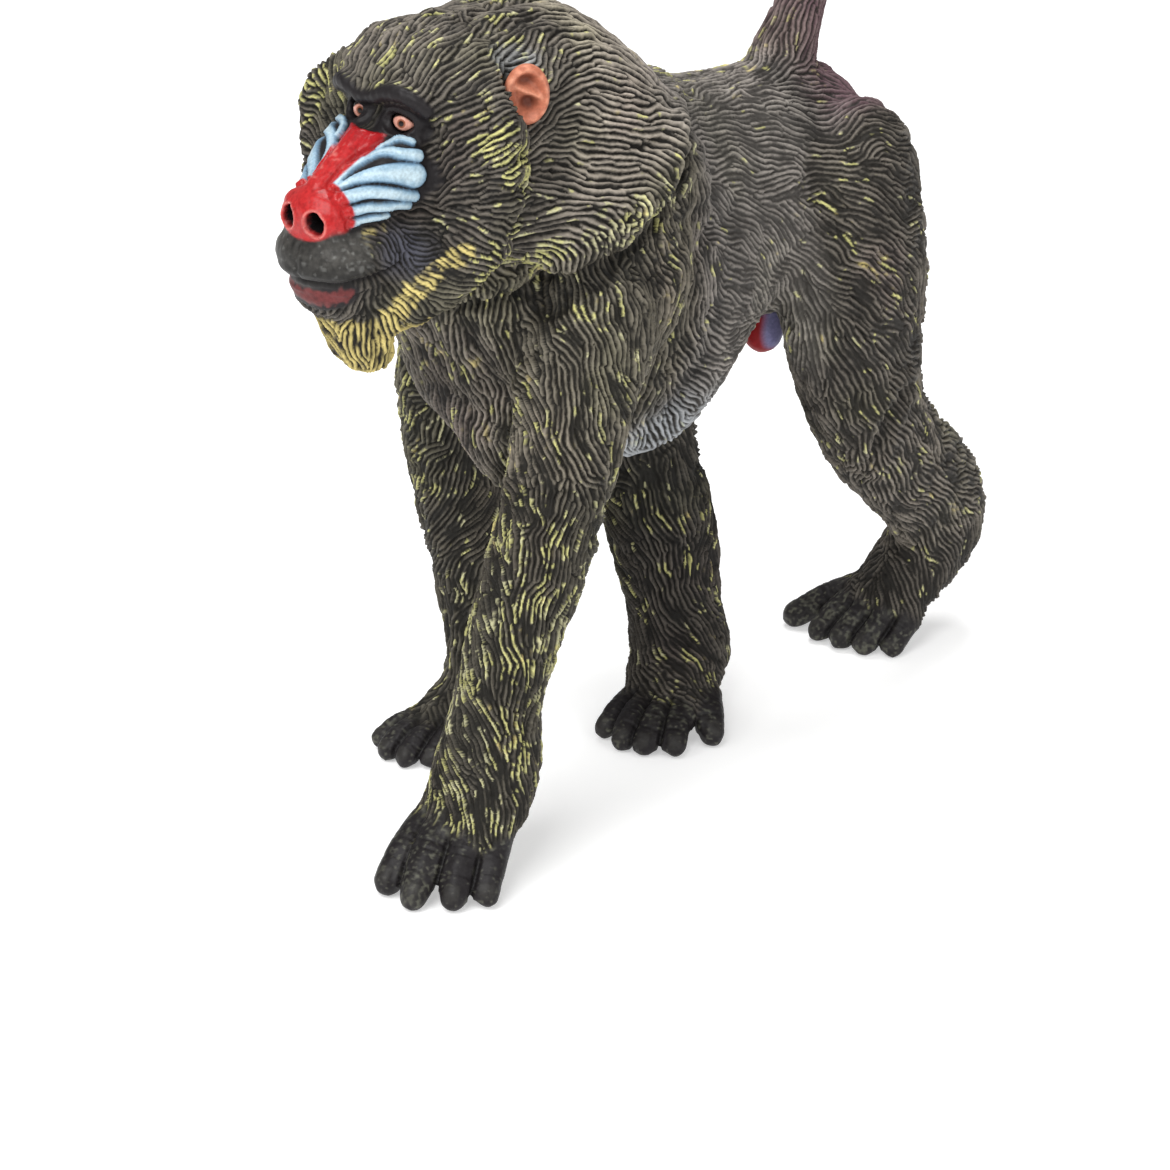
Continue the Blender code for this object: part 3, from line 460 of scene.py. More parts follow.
def fur_flow(points, normals, owner, edges, middle, unruly):
    """The way the fur lies at each vertex."""
    x, y, z = points.T
    flow = np.zeros_like(points)

    def lay(way, *names):
        here = on_parts(owner, *names)
        flow[here] = np.broadcast_to(way, points.shape)[here]

    from_face = unit(points - FACE_CENTRE)
    lay(from_face, "head", "muzzle")
    lay(unit((0, 0.15, -1.0) + 0.5 * from_face), "jaw")
    behind, above = y - NAPE[0], z - NAPE[1]
    fan = unit(rows(0.1 * np.sign(x) * behind, behind, 0.55 * above))
    lay(unit(fan + rows(0, 0, -0.9 * ramp(y, -14.0, 3.0))), "mane")
    low = ramp(y, -8.0, 4.0)
    lay(unit(rows(0, 0.2 + 0.6 * low, -1.0 + 0.1 * low)), "chest")
    lay((0, 0.86, -0.5), "abdomen")
    lay(unit(rows(0, 1, -0.2 - 1.4 * ramp(y, 18.0, 28.0))), "rump", "genital_patch")
    lay((0, 0.3, 1.0), "tail")
    for upper, lower, end in LIMBS:
        first = middle[lower] - middle[upper]
        last = middle[end] - middle[lower]
        for name, way in ((upper, first), (lower, last + 0.3 * first), (end, last)):
            here = on_parts(owner, name)
            way = way / np.linalg.norm(way)
            side = np.cross(normals[here], way)
            rear = np.where(x[here] > 0, 1.0, -1.0) if "arm" in upper else 1.0
            flow[here] = unit(way + 0.45 * side * np.reshape(rear, (-1, 1)))
    thigh = on_parts(owner, "thigh_left", "thigh_right")
    high = ramp(z, 38.0, 50.0)[thigh, None]
    flow[thigh] = unit(flow[thigh] * (1 - 0.75 * high) + np.array((0, 1.0, -0.35)) * high)
    wander = 0.45 * np.stack([lattice_noise(points, 4.5, s) for s in (11, 12, 13)], 1)
    wander += 0.48 * np.stack([lattice_noise(points, 1.7, s) for s in (14, 15, 16)], 1)
    flow = spread(flow, edges, FLOW_ROUNDS, 0.6)
    flow = unit(flow) + wander * (0.65 + 0.75 * unruly)[:, None]
    flow -= normals * np.sum(flow * normals, 1, keepdims=True)
    return unit(flow)


# Numbers of the grid cells, and steps between the numbers of neighbours
CELLS = 8192
NEIGHBOURS = [(i * CELLS + j) * CELLS + k for i in (-1, 0, 1) for j in (-1, 0, 1) for k in (-1, 0, 1)]


def gather_cells(points, size):
    """Vertex numbers by grid cell."""
    cell = np.floor(points / size).astype(np.int64) + CELLS // 2
    key = (cell[:, 0] * CELLS + cell[:, 1]) * CELLS + cell[:, 2]
    order = np.argsort(key, kind="stable")
    keys, starts = np.unique(key[order], return_index=True)
    ends = np.append(starts[1:], len(order))
    return {int(k): order[s:e] for k, s, e in zip(keys, starts, ends)}


def around(cells, key):
    """Vertex numbers in a cell and those beside it."""
    return np.concatenate([cells.get(key + n, np.empty(0, dtype=np.int64)) for n in NEIGHBOURS])


def sow_kernels(points, normals, flow, pitch):
    """Random places for strands and for locks, each with the ways across the fur and out, and a pitch."""
    rng = np.random.default_rng(5)
    chosen = rng.choice(len(points), KERNELS, replace=False)
    seeds, seed_normals = points[chosen], normals[chosen]
    across = unit(np.cross(seed_normals, flow[chosen]))
    strand_pitch = pitch[chosen] * (1 + 0.1 * lattice_noise(seeds, 5.0, 3))
    some = rng.choice(KERNELS, KERNELS // LOCK_KERNELS, replace=False)
    return ((seeds, across, seed_normals, strand_pitch),
            (seeds[some], across[some], seed_normals[some], np.full(len(some), LOCK_PITCH)))


def stripes(points, kernels, reach, rounds, seed):
    """Phase of evenly spaced stripes at each point, and how sure it is, from kernels laid on the skin.

    Each kernel carries a wave across the fur. Kernels are first brought into step with their
    neighbours, and the waves are then added up.
    """
    seeds, across, normals, pitch = kernels
    phase = np.random.default_rng(seed).uniform(0, 2 * math.pi, len(seeds))
    wave = 2 * math.pi / pitch
    cells = gather_cells(seeds, reach)
    a_list, b_list = [], []
    for key, members in cells.items():
        near = around(cells, key)
        d2 = ((seeds[members][:, None] - seeds[near][None]) ** 2).sum(2)
        i, j = np.nonzero((d2 < reach * reach) & (d2 > 0))
        a_list.append(members[i])
        b_list.append(near[j])
    a, b = np.concatenate(a_list), np.concatenate(b_list)
    step = seeds[a] - seeds[b]
    sign = np.where(np.sum(across[a] * across[b], 1) < 0, -1.0, 1.0)
    facing = np.clip(np.sum(normals[a] * normals[b], 1), 0, 1)
    weight = np.exp(-((step ** 2).sum(1)) / (0.3 * reach * reach)) * facing
    travel = wave[b] * np.sum(step * across[b], 1)
    for _ in range(rounds):
        carried = phase[b] + travel
        real = np.bincount(a, weight * np.cos(carried), len(seeds))
        imaginary = np.bincount(a, weight * sign * np.sin(carried), len(seeds))
        phase = np.arctan2(imaginary, real)
    real = np.zeros(len(points))
    imaginary = np.zeros(len(points))
    total = np.full(len(points), 1e-9)
    for key, members in gather_cells(points, reach).items():
        near = around(cells, key)
        step = points[members][:, None] - seeds[near][None]
        w = np.exp(-(step ** 2).sum(2) / (0.16 * reach * reach))
        angle = phase[near][None] + wave[near][None] * np.einsum("ijk,jk->ij", step, across[near])
        real[members] = (w * np.cos(angle)).sum(1)
        imaginary[members] = (w * np.sin(angle)).sum(1)
        total[members] += w.sum(1)
    return np.arctan2(imaginary, real), np.hypot(real, imaginary) / total


def along_fur(points, flow, scale, seed, length):
    """Random values that run long along the fur and change quickly across it."""
    steps = np.linspace(-1, 1, 5)
    out = np.zeros(len(points))
    for t in steps:
        out += lattice_noise(points + flow * (t * length), scale, seed)
    return out / math.sqrt(len(steps)) * 0.9


# The face

# Raised light-blue ridges of the cheek, front to back, each with its half width at both ends
CHEEK_RIDGES = [
    ([(2.3, -26.9, 61.45), (2.6, -26.2, 61.9), (3.1, -25.5, 62.0), (4.1, -25.0, 61.95)], 0.26, 0.3),
    ([(1.3, -30.7, 59.1), (1.4, -29.1, 60.15), (2.0, -27.8, 60.75), (2.9, -26.9, 61.2), (3.8, -26.1, 61.1),
      (4.7, -25.0, 60.95)], 0.26, 0.5),
    ([(1.6, -30.4, 59.0), (2.2, -29.5, 59.4), (2.9, -28.9, 59.8), (3.7, -27.9, 60.0), (4.4, -26.8, 59.9),
      (4.9, -25.5, 59.5)], 0.26, 0.96),
    ([(2.3, -30.5, 58.3), (3.2, -29.3, 58.7), (3.9, -28.1, 58.6), (4.5, -26.9, 58.25), (4.8, -25.5, 57.8)],
     0.52, 0.44),
    ([(2.6, -30.6, 57.3), (3.4, -29.4, 57.5), (3.9, -28.0, 57.4), (4.4, -26.8, 57.3), (4.6, -25.9, 57.1)],
     0.40, 0.33),
    ([(2.7, -30.6, 56.4), (3.2, -30.0, 56.55), (3.6, -28.8, 56.6), (3.9, -27.6, 56.6)], 0.3, 0.24),
]
FACE_LINES = {  # line, and its half width at both ends
    "red": ([(0, -30.8, 58.8), (0, -29.4, 59.7), (0, -28.0, 60.6), (0, -26.3, 61.8)], 1.2, 2.35),
    "mouth": ([(-3.6, -30.6, 51.9), (-2.0, -32.4, 51.6), (0, -33.1, 51.7), (2.3, -32.7, 51.8),
               (4.1, -30.7, 52.0), (4.7, -28.6, 52.4), (5.0, -27.4, 52.9)], 0.5, 0.5),
    "lip": ([(-2.6, -31.4, 50.7), (-1.2, -32.2, 50.5), (0.2, -32.4, 50.4), (1.8, -32.1, 50.5),
             (3.0, -31.2, 51.0)], 0.95, 0.85),
    "brow": ([(-4.9, -24.1, 64.4), (-4.0, -24.8, 65.0), (-2.8, -25.4, 65.1), (-1.4, -25.3, 64.5),
              (0, -25.3, 64.6), (1.5, -25.4, 65.3), (3.0, -25.2, 65.5), (4.2, -24.8, 65.1),
              (4.9, -24.2, 64.3)], 0.85, 0.85),
    "philtrum": ([(0, -33.3, 55.0), (0, -33.7, 53.6), (0, -33.2, 52.2)], 0.4, 0.4),
}
STREAK = ([(4.0, -28.0, 47.4), (5.2, -27.8, 48.9), (6.0, -27.1, 50.4), (7.0, -26.3, 52.0), (8.0, -25.6, 53.2),
           (9.4, -24.8, 54.2)], 1.25, 0.9)
NOSTRIL = np.array((1.4, -32.6, 56.6))
NOSTRIL_RADII = np.array((0.86, 1.5, 0.98))
NOSTRIL_TURN = 24.0
NOSTRIL_SINK = np.array((0, 1.1, 0.25))
NOSE = ((0, -31.2, 56.8), (3.35, 2.6, 2.7))
LID_STEP = (0, -0.6, 0)
LID_RADII = (1.35, 1.5, 1.1)
SOCKET = (2.6, -24.5, 62.9)


def face_masks(points, tree):
    """How much each vertex belongs to the features of the face."""
    masks = {key: stroke(points, tree, *line) for key, line in FACE_LINES.items()}
    red_end = (-26.5 + 0.45 * np.abs(points[:, 0]) - points[:, 1]) / 0.6
    masks["red"] = np.minimum(masks["red"], red_end)
    masks["cheek"] = np.maximum.reduce([strokes(points, tree, *ridge) for ridge in CHEEK_RIDGES])
    masks["streak"] = strokes(points, tree, *STREAK)
    masks["nose"] = 1 - oval(points, *NOSE)
    nostrils, lids = [], []
    for side in SIDES:
        turn = np.array(Matrix.Rotation(side * math.radians(NOSTRIL_TURN), 3, "Y"))
        turned = (points - NOSTRIL * (side, 1, 1)) @ turn.T
        nostrils.append(np.linalg.norm(turned / NOSTRIL_RADII, axis=1))
        lids.append(oval(points, EYE_PLACE * (side, 1, 1) + LID_STEP, LID_RADII))
    masks["nostril"] = np.minimum(*nostrils)
    masks["lid"] = np.minimum(*lids)
    return masks


def sculpt_face(points, normals, masks):
    """Ridges, lips, brow and nostrils, as moves of the vertices."""
    x, y, z = points.T
    cheek = ramp(masks["cheek"], -0.16, 0.18)
    raise_by = 0.26 * cheek - 0.14 * ramp(masks["cheek"], -1.6, -0.7) * (1 - cheek)
    raise_by += 0.42 * ramp(masks["brow"], -0.2, 0.9)
    raise_by -= 0.16 * bell(masks["brow"], -0.55, 0.35) * ramp(z, 62.5, 64.0)
    raise_by -= 0.05 * np.abs(np.sin(x * 4.0 + z * 2.0)) * ramp(masks["brow"], -0.4, 0.4)
    raise_by -= 0.36 * ramp(masks["mouth"], 0.2, 1.0)
    raise_by += 0.12 * bell(masks["mouth"], -0.9, 0.6)
    raise_by += 0.24 * ramp(masks["lip"], 0.0, 0.8)
    raise_by -= 0.14 * ramp(masks["philtrum"], 0.1, 0.9)
    raise_by += 0.22 * ramp(masks["red"], 0.0, 0.6)
    raise_by += 0.16 * bell(masks["lid"], 1.12, 0.14)
    groove = np.abs(np.sin(x * 2.6 + 0.8 * np.sin(y * 1.1)))
    raise_by -= 0.1 * (1 - groove) ** 2 * ramp(masks["red"], 0.1, 0.4) * ramp(masks["nose"], 0.1, -0.1)
    raise_by += 0.16 * bell(masks["nostril"], 1.14, 0.16)
    return normals * raise_by[:, None] + ramp(masks["nostril"], 1.0, 0.6)[:, None] * NOSTRIL_SINK


def bare_face(points, masks):
    """1 where the face has no fur: eyes, brow, cheeks, nose and lips."""
    return np.maximum.reduce([
        ramp(masks["cheek"], -1.2, -0.6), ramp(masks["brow"], 0.0, 0.5),
        spots(points, SOCKET, (2.5, 2.8, 2.0), 1.1, 0.85),
        spot(points, (0, -31.4, 53.8), (4.9, 4.2, 3.1), 1.12, 0.85),
        ramp(masks["lip"], -0.5, 0.0), ramp(masks["nose"], -0.1, 0.0), ramp(masks["red"], -0.5, -0.1)])


# Fingers and toes: root and tip of each
DIGITS = [
    ((5.2, -25.2, 5.2), (6.2, -31.0, 1.2)), ((7.4, -25.5, 5.5), (9.5, -31.3, 1.1)),
    ((9.5, -24.6, 5.3), (12.0, -29.3, 1.1)), ((11.2, -23.1, 4.9), (13.7, -27.0, 1.1)),
    ((5.0, -23.0, 4.4), (4.7, -26.4, 1.0)),
    ((-12.8, -9.9, 2.1), (-13.7, -12.9, 0.9)), ((-11.4, -10.6, 2.1), (-11.6, -14.1, 0.9)),
    ((-9.8, -10.6, 2.1), (-9.4, -14.0, 0.9)), ((-8.3, -9.8, 2.1), (-7.5, -12.6, 0.9)),
    ((-7.6, -7.0, 2.1), (-6.1, -9.1, 0.9)),
    ((-0.9, 34.8, 3.8), (-5.2, 30.5, 1.0)), ((0.2, 33.4, 3.5), (-1.6, 29.6, 0.85)),
    ((2.1, 33.2, 3.4), (1.0, 29.7, 0.85)), ((4.0, 33.4, 3.3), (3.4, 30.2, 0.8)),
    ((5.7, 34.2, 3.1), (5.6, 31.6, 0.75)),
    ((3.2, 9.6, 2.9), (6.4, 7.2, 1.2)), ((3.3, 6.4, 2.6), (5.6, 3.4, 1.0)),
    ((2.0, 5.6, 2.6), (3.5, 1.8, 1.0)), ((0.3, 5.2, 2.6), (1.4, 1.2, 1.0)),
    ((-1.5, 5.6, 2.5), (-1.2, 1.8, 1.0)),
]
DIGIT_TOP = 8            # all fingers and toes are below this height
KNUCKLES = (0.4, 0.5, 0.76)
WRINKLE_WIDTH = 0.13
CLEFT_DEPTH = 0.4


def digit_fields(points, normals):
    """How much each vertex is bare skin of a finger or toe, a wrinkle, a nail, or a cleft between two."""
    bare, wrinkle, nail, cleft = np.zeros((4, len(points)))
    low = np.flatnonzero(points[:, 2] < DIGIT_TOP)
    p, up = points[low], normals[low, 2]
    first = np.full(len(p), 9.0)
    second = np.full(len(p), 9.0)
    on_digit = np.zeros(len(p))
    for root, tip in DIGITS:
        a, d = np.array(root), np.array(tip) - np.array(root)
        length = np.linalg.norm(d)
        t = (p - a) @ d / (d @ d)
        gap = np.linalg.norm(p - a - np.clip(t, 0, 1.1)[:, None] * d, axis=1)
        second = np.minimum(second, np.maximum(gap, first))
        first = np.minimum(first, gap)
        near = ramp(gap, 2.1, 1.6)
        on_digit = np.maximum(on_digit, near * ramp(t, -0.4, -0.05))
        bare[low] = np.maximum(bare[low], near * ramp(t, -0.12, 0.3))
        ahead = unit(d * (1, 1, 0.2))
        top = ramp(up + 0.4 * normals[low] @ ahead, 0.3, 0.7)
        for place in KNUCKLES:
            crease = near * top * bell((t - place) * length, 0, WRINKLE_WIDTH)
            wrinkle[low] = np.maximum(wrinkle[low], 0.7 * crease)
        side = np.linalg.norm(np.cross(p - a, d) * (0, 0, 1), axis=1) / length
        tip_top = near * top * ramp(side, 0.6, 0.45) * ramp(t, 0.86, 0.93) * ramp(t, 1.28, 1.15)
        nail[low] = np.maximum(nail[low], tip_top)
    cleft[low] = ramp(second - first, 0.5, 0.05) * on_digit * ramp(second, 2.2, 1.7)
    return bare, wrinkle, nail, cleft


# Paint, as linear colour

TINT = np.array((1.0, 0.88, 0.73))
OLIVE_TINT = np.array((1.0, 0.915, 0.65))
BROWN_TINT = np.array((1.0, 0.82, 0.71))
GREY_TINT = np.array((1.0, 0.92, 0.85))
YELLOW_GREEN = np.array((0.54, 0.52, 0.20))
CREAM = np.array((0.54, 0.52, 0.31))
YELLOW = np.array((0.56, 0.46, 0.17))
BLACK = np.array((0.012, 0.010, 0.011))
RED = np.array((0.33, 0.010, 0.013))
NOSE_RED = np.array((0.40, 0.020, 0.021))
# pink, also the painted highlights on the nose and the red ridge
PINK = np.array((0.68, 0.24, 0.21))
# Blues of the cheek ridges: the darker one is painted shade at the ridges' edges, the paler one a painted
# highlight on their crests
SKY_SHADE = np.array((0.13, 0.23, 0.34))
SKY = np.array((0.27, 0.40, 0.50))
SKY_HIGHLIGHT = np.array((0.45, 0.57, 0.63))
LIP_RED = np.array((0.105, 0.022, 0.022))
LIP_GREY = np.array((0.040, 0.038, 0.034))
# light grey speckles, painted highlights on the upper lip
LIP_HIGHLIGHT_SPECKLE = np.array((0.17, 0.17, 0.16))
DIGIT_GREY = np.array((0.105, 0.105, 0.080))
VIOLET = np.array((0.085, 0.09, 0.125))
FROST = np.array((0.46, 0.50, 0.54))
MAUVE = np.array((0.145, 0.075, 0.095))
LILAC = np.array((0.24, 0.23, 0.42))

# Places of the paint: middle and radii
# painted shade in the hollow of the chest between the arms
ARM_HOLLOW_SHADE = ((-1.0, -19.5, 38.0), (6.5, 5.5, 8.0))
BY_EAR = ((8.6, -16.6, 68.4), (3.0, 3.0, 2.4))
JOWL = ((5.6, -27.2, 54.0), (2.8, 2.6, 2.9))
UPPER_LIP = ((0, -31.4, 53.6), (5.2, 4.6, 3.0))
STRAND = 0.36            # width of the strands that the brush left
STRAND_LENGTH = 0.6


def blend(colour, other, share):
    return colour + (other - colour) * np.clip(share, 0, 1)[:, None]


def paint_fur(skin, noise, dry):
    """Dark grooves, dry-brushed ridges and yellow-green flecks. The grooves' dark is partly painted shade
    between the ridges, and painted shade darkens the folds, the mane's edge and the chest's hollow by the
    arms.
    """
    x, y, z = skin.points.T
    fine, broad, grain = noise.fine, noise.broad, noise.grain
    ridge_light, groove_paint_and_shade, fleck_share, _, _, unruly = skin.style.T
    trunk, _, _, arm = skin.groups.T
    flecks = along_fur(skin.points, skin.flow, STRAND, 22, STRAND_LENGTH)
    wide = lattice_noise(skin.points, 7.0, 24)
    # the grooves are dark paint and also painted shade between the ridges
    light = groove_paint_and_shade + (ridge_light * (1 + 0.3 * broad) - groove_paint_and_shade) * dry
    # painted shade in the hollow of the chest between the arms; the paint is also darker towards the front of
    # the head
    hollow = spot(skin.points, *ARM_HOLLOW_SHADE, 1.0, 0.3)
    front = ramp(y, -16.0, -22.0) * ramp(z, 50.0, 54.0) * ramp(z, 68.0, 64.0)
    light *= (1 - 0.62 * skin.shade) * (1 - 0.45 * hollow) * (1 - 0.35 * front)
    tint = blend(TINT, BROWN_TINT, ramp(wide + 0.4 * broad, 0.15, 0.9))
    tint = blend(tint, OLIVE_TINT, ramp(-wide + 0.3 * broad, 0.1, 0.8) + 0.5 * arm)
    tint = blend(tint, GREY_TINT, 0.7 * trunk * ramp(y, -6.0, 2.0))
    colour = tint * light[:, None]

    # The flecks lie on the ridges, and are thicker on the ruff, the crown, the mane's edge and the back
    ruff = 0.84 * ramp(y, -24.5, -22.0) * ramp(y, -16.5, -19.5) * ramp(np.abs(x), 4.0, 7.0)
    ruff = ruff * ramp(z, 49.0, 53.0) * ramp(z, 68.0, 63.0)
    crown = 0.5 * ramp(z, 63.0, 66.0) * ramp(y, -8.0, -14.0)
    margin_line = 51.6 + 0.16 * np.clip(y + 24.0, 0, 40)
    margin = 1.25 * bell(z, margin_line, 2.2) * ramp(y, -25.0, -22.0) * ramp(y, 2.0, -3.0)
    margin = margin * ramp(np.abs(x), 6, 9) * (1 - skin.shade)
    back = 0.6 * ramp(z, 55.5, 58.5) * trunk * ramp(y, -4.0, 2.0)
    amount = np.maximum.reduce([fleck_share, ruff, crown, margin, back]) + 0.26 * broad
    ridge = ramp(skin.crest + 0.1 * grain, 0.66 + 0.12 * unruly, 0.88 + 0.05 * unruly)
    fleck = ramp(flecks + amount, 0.94, 1.12) * ridge
    fleck_colour = blend(YELLOW_GREEN, CREAM, ramp(grain - broad + 0.25 * arm, -0.4, 0.9))
    return blend(colour, fleck_colour * (0.95 + 0.3 * fine)[:, None], fleck * 0.92)


def tint_fur(colour, skin, noise):
    """Yellow beard with its streak up to the ruff, frost, violet and mauve."""
    y, z = skin.points[:, 1:].T
    fine, broad, height = noise.fine, noise.broad, skin.height
    trunk, rear, _, _ = skin.groups.T
    beard = ramp(z, 48.9, 47.4) * ramp(y, -23.6, -25.4) * ramp(z, 36.0, 40.0)
    yellow = np.maximum(beard, 0.8 * ramp(skin.masks["streak"], -0.5, 0.6))
    yellow = ramp(yellow + 0.45 * fine + 0.4 * broad, 0.5, 0.9) * ramp(height + 0.2 * fine, 0.3, 0.8)
    colour = blend(colour, YELLOW * (0.85 + 0.35 * fine)[:, None], yellow)
    by_ear = spots(skin.points, *BY_EAR, 1.2, 0.3)
    colour = blend(colour, FROST, 0.9 * by_ear * ramp(height + 0.3 * fine, 0.3, 0.95))
    jowl = spots(skin.points, *JOWL, 1.1, 0.3)
    colour = blend(colour, VIOLET, 0.65 * jowl * ramp(height + 0.35 * fine, 0.2, 0.9))
    fringe = ramp(z, 37.0, 31.0) * trunk * ramp(y, 9.0, 3.0) * ramp(y, -12.0, -8.0)
    colour = blend(colour, FROST, 0.62 * fringe * ramp(height + 0.3 * fine, 0.35, 1.0))
    return blend(colour, MAUVE, rear * 0.75 * ramp(height, 0.2, 0.8))


def paint_bare(colour, skin, noise):
    """Black skin of the eyes, mouth, fingers and toes, with a little dry paint on it and a painted highlight
    on the upper lip.
    """
    z, masks = skin.points[:, 2], skin.masks
    broad, grain, pores = noise.broad, noise.grain, noise.pores
    black = BLACK + (LIP_GREY - BLACK) * (0.75 * ramp(broad + 0.7 * grain, 0.0, 1.3))[:, None]
    black = blend(black, DIGIT_GREY, 0.75 * ramp(pores + 0.5 * broad, 0.25, 0.9) * ramp(z, 9.0, 7.0))
    colour = blend(colour, black, skin.bare)
    eyes = np.maximum.reduce([ramp(masks["brow"], 0.0, 0.5), ramp(masks["cheek"], -2.4, -1.4),
                              spots(skin.points, SOCKET, (2.7, 2.9, 2.2), 1.1, 0.8)])
    colour = blend(colour, BLACK, 0.85 * eyes * skin.bare)
    lips = spot(skin.points, *UPPER_LIP, 1.1, 0.8) * ramp(z, 51.2, 52.0)
    # painted highlight: the upper lip is lighter towards the nose and darker towards the mouth, with random
    # grain
    lip_highlight_and_grain = (0.35 + 0.75 * ramp(z, 52.2, 54.2)) * (1.0 + 0.5 * grain + 0.45 * broad)
    colour = blend(colour, LIP_GREY * lip_highlight_and_grain[:, None], 0.85 * lips)
    # light grey speckles near the nose as painted highlights
    colour = blend(colour, LIP_HIGHLIGHT_SPECKLE, 0.6 * lips * ramp(pores + 0.5 * broad, 0.3, 0.9) * ramp(z, 52.0, 53.6))
    lower_lip = ramp(masks["lip"] + 0.25 * grain, 0.1, 0.4)
    colour = blend(colour, LIP_RED * (1.1 + 0.35 * grain)[:, None], lower_lip)
    return blend(colour, BLACK * 0.7, 0.9 * ramp(masks["mouth"], 0.5, 0.95))


def paint_face(colour, skin, noise, red):
    """Light-blue cheek ridges between black grooves, with painted shade at their edges and painted highlights
    on their crests, and the red ridge and nose with pink painted highlights.
    """
    fine, broad, grain, masks = noise.fine, noise.broad, noise.grain, skin.masks
    colour = blend(colour, BLACK, ramp(masks["cheek"], -1.4, -0.6))
    # painted shade: darker blue towards the ridges' edges; painted highlight: paler blue on their crests,
    # broken up by noise
    sky = blend(SKY_SHADE, SKY, ramp(masks["cheek"], 0.0, 0.32))
    sky = blend(sky, SKY_HIGHLIGHT, ramp(masks["cheek"] + 0.15 * grain + 0.25 * fine + 0.3 * broad, 0.3, 1.1))
    colour = blend(colour, sky, ramp(masks["cheek"], -0.14, 0.02))
    red_colour = blend(RED, NOSE_RED, ramp(skin.points[:, 1], -26.5, -30.0))
    # pink patches as painted highlights on the nose and the red ridge
    red_colour = blend(red_colour, PINK, 0.55 * ramp(0.7 * grain + fine + 0.7 * broad, 0.4, 1.4))
    red_colour = blend(red_colour, RED * 0.6, 0.5 * ramp(-grain - fine, 0.4, 1.2))
    colour = blend(colour, red_colour, red)
    colour = blend(colour, PINK, 0.65 * bell(masks["nostril"], 1.12, 0.08) * red)
    return blend(colour, BLACK * 0.5, ramp(masks["nostril"], 1.0, 0.88))


def paint_skin(skin):
    """Base colour and roughness of each vertex."""
    points, masks, patch = skin.points, skin.masks, skin.groups[:, 2]
    noise = SimpleNamespace(
        fine=along_fur(points, skin.flow, STRAND, 21, STRAND_LENGTH), broad=lattice_noise(points, 3.2, 23),
        grain=lattice_noise(points, 0.3, 25), pores=lattice_noise(points, 0.24, 26))
    dry = ramp(skin.height + 0.2 * noise.fine + 0.12 * noise.grain, 0.42, 1.1)
    red = np.maximum(ramp(masks["red"], 0.0, 0.12), ramp(masks["nose"], 0.0, 0.05))
    colour = tint_fur(paint_fur(skin, noise, dry), skin, noise)
    colour = paint_face(paint_bare(colour, skin, noise), skin, noise, red)
    # painted shade in the wrinkles of the fingers and toes and in the clefts between them
    colour = blend(colour, BLACK * 0.5, 0.8 * np.maximum(0.6 * skin.wrinkle, skin.cleft))
    colour = blend(colour, LIP_GREY, 0.45 * skin.nail)
    colour = blend(colour, LILAC * (1 + 0.25 * noise.broad)[:, None], patch)
    colour = blend(colour, RED * 0.9, patch * ramp(points[:, 1], 20.4, 19.8) * ramp(points[:, 0], 1.7, 1.1))
    rough = 0.68 - 0.1 * dry
    rough = rough + (0.5 - rough) * skin.bare
    rough = rough + (0.27 - rough) * np.maximum(ramp(masks["cheek"], 0.0, 0.2), red)
    return np.clip(colour, 0.003, 1), np.clip(rough, 0.15, 0.9)


# Parting and unwrapping

def unwrap(obj, margin):
    for other in bpy.context.selected_objects:
        other.select_set(False)
    bpy.context.view_layer.objects.active = obj
    obj.select_set(True)
    bpy.ops.object.mode_set(mode="EDIT")
    bpy.ops.mesh.select_all(action="SELECT")
    bpy.ops.uv.smart_project(angle_limit=math.radians(66), island_margin=margin)
    bpy.ops.object.mode_set(mode="OBJECT")


def chart_labels(vertex, uv):
    """Numbers the charts: triangles that share an edge at the same place in the unwrap."""
    edges = {}
    parent = list(range(len(vertex)))

    def root(i):
        while parent[i] != i:
            parent[i] = parent[parent[i]]
            i = parent[i]
        return i

    for f, (tri, places) in enumerate(zip(vertex.tolist(), np.round(uv, 5).tolist())):
        for i in range(3):
            j = (i + 1) % 3
            ends = sorted(((tri[i], *places[i]), (tri[j], *places[j])))
            other = edges.setdefault(tuple(ends), f)
            if other != f:
                parent[root(f)] = root(other)
    roots = [root(i) for i in range(len(vertex))]
    names = {r: n for n, r in enumerate(dict.fromkeys(roots))}
    return np.array([names[r] for r in roots])


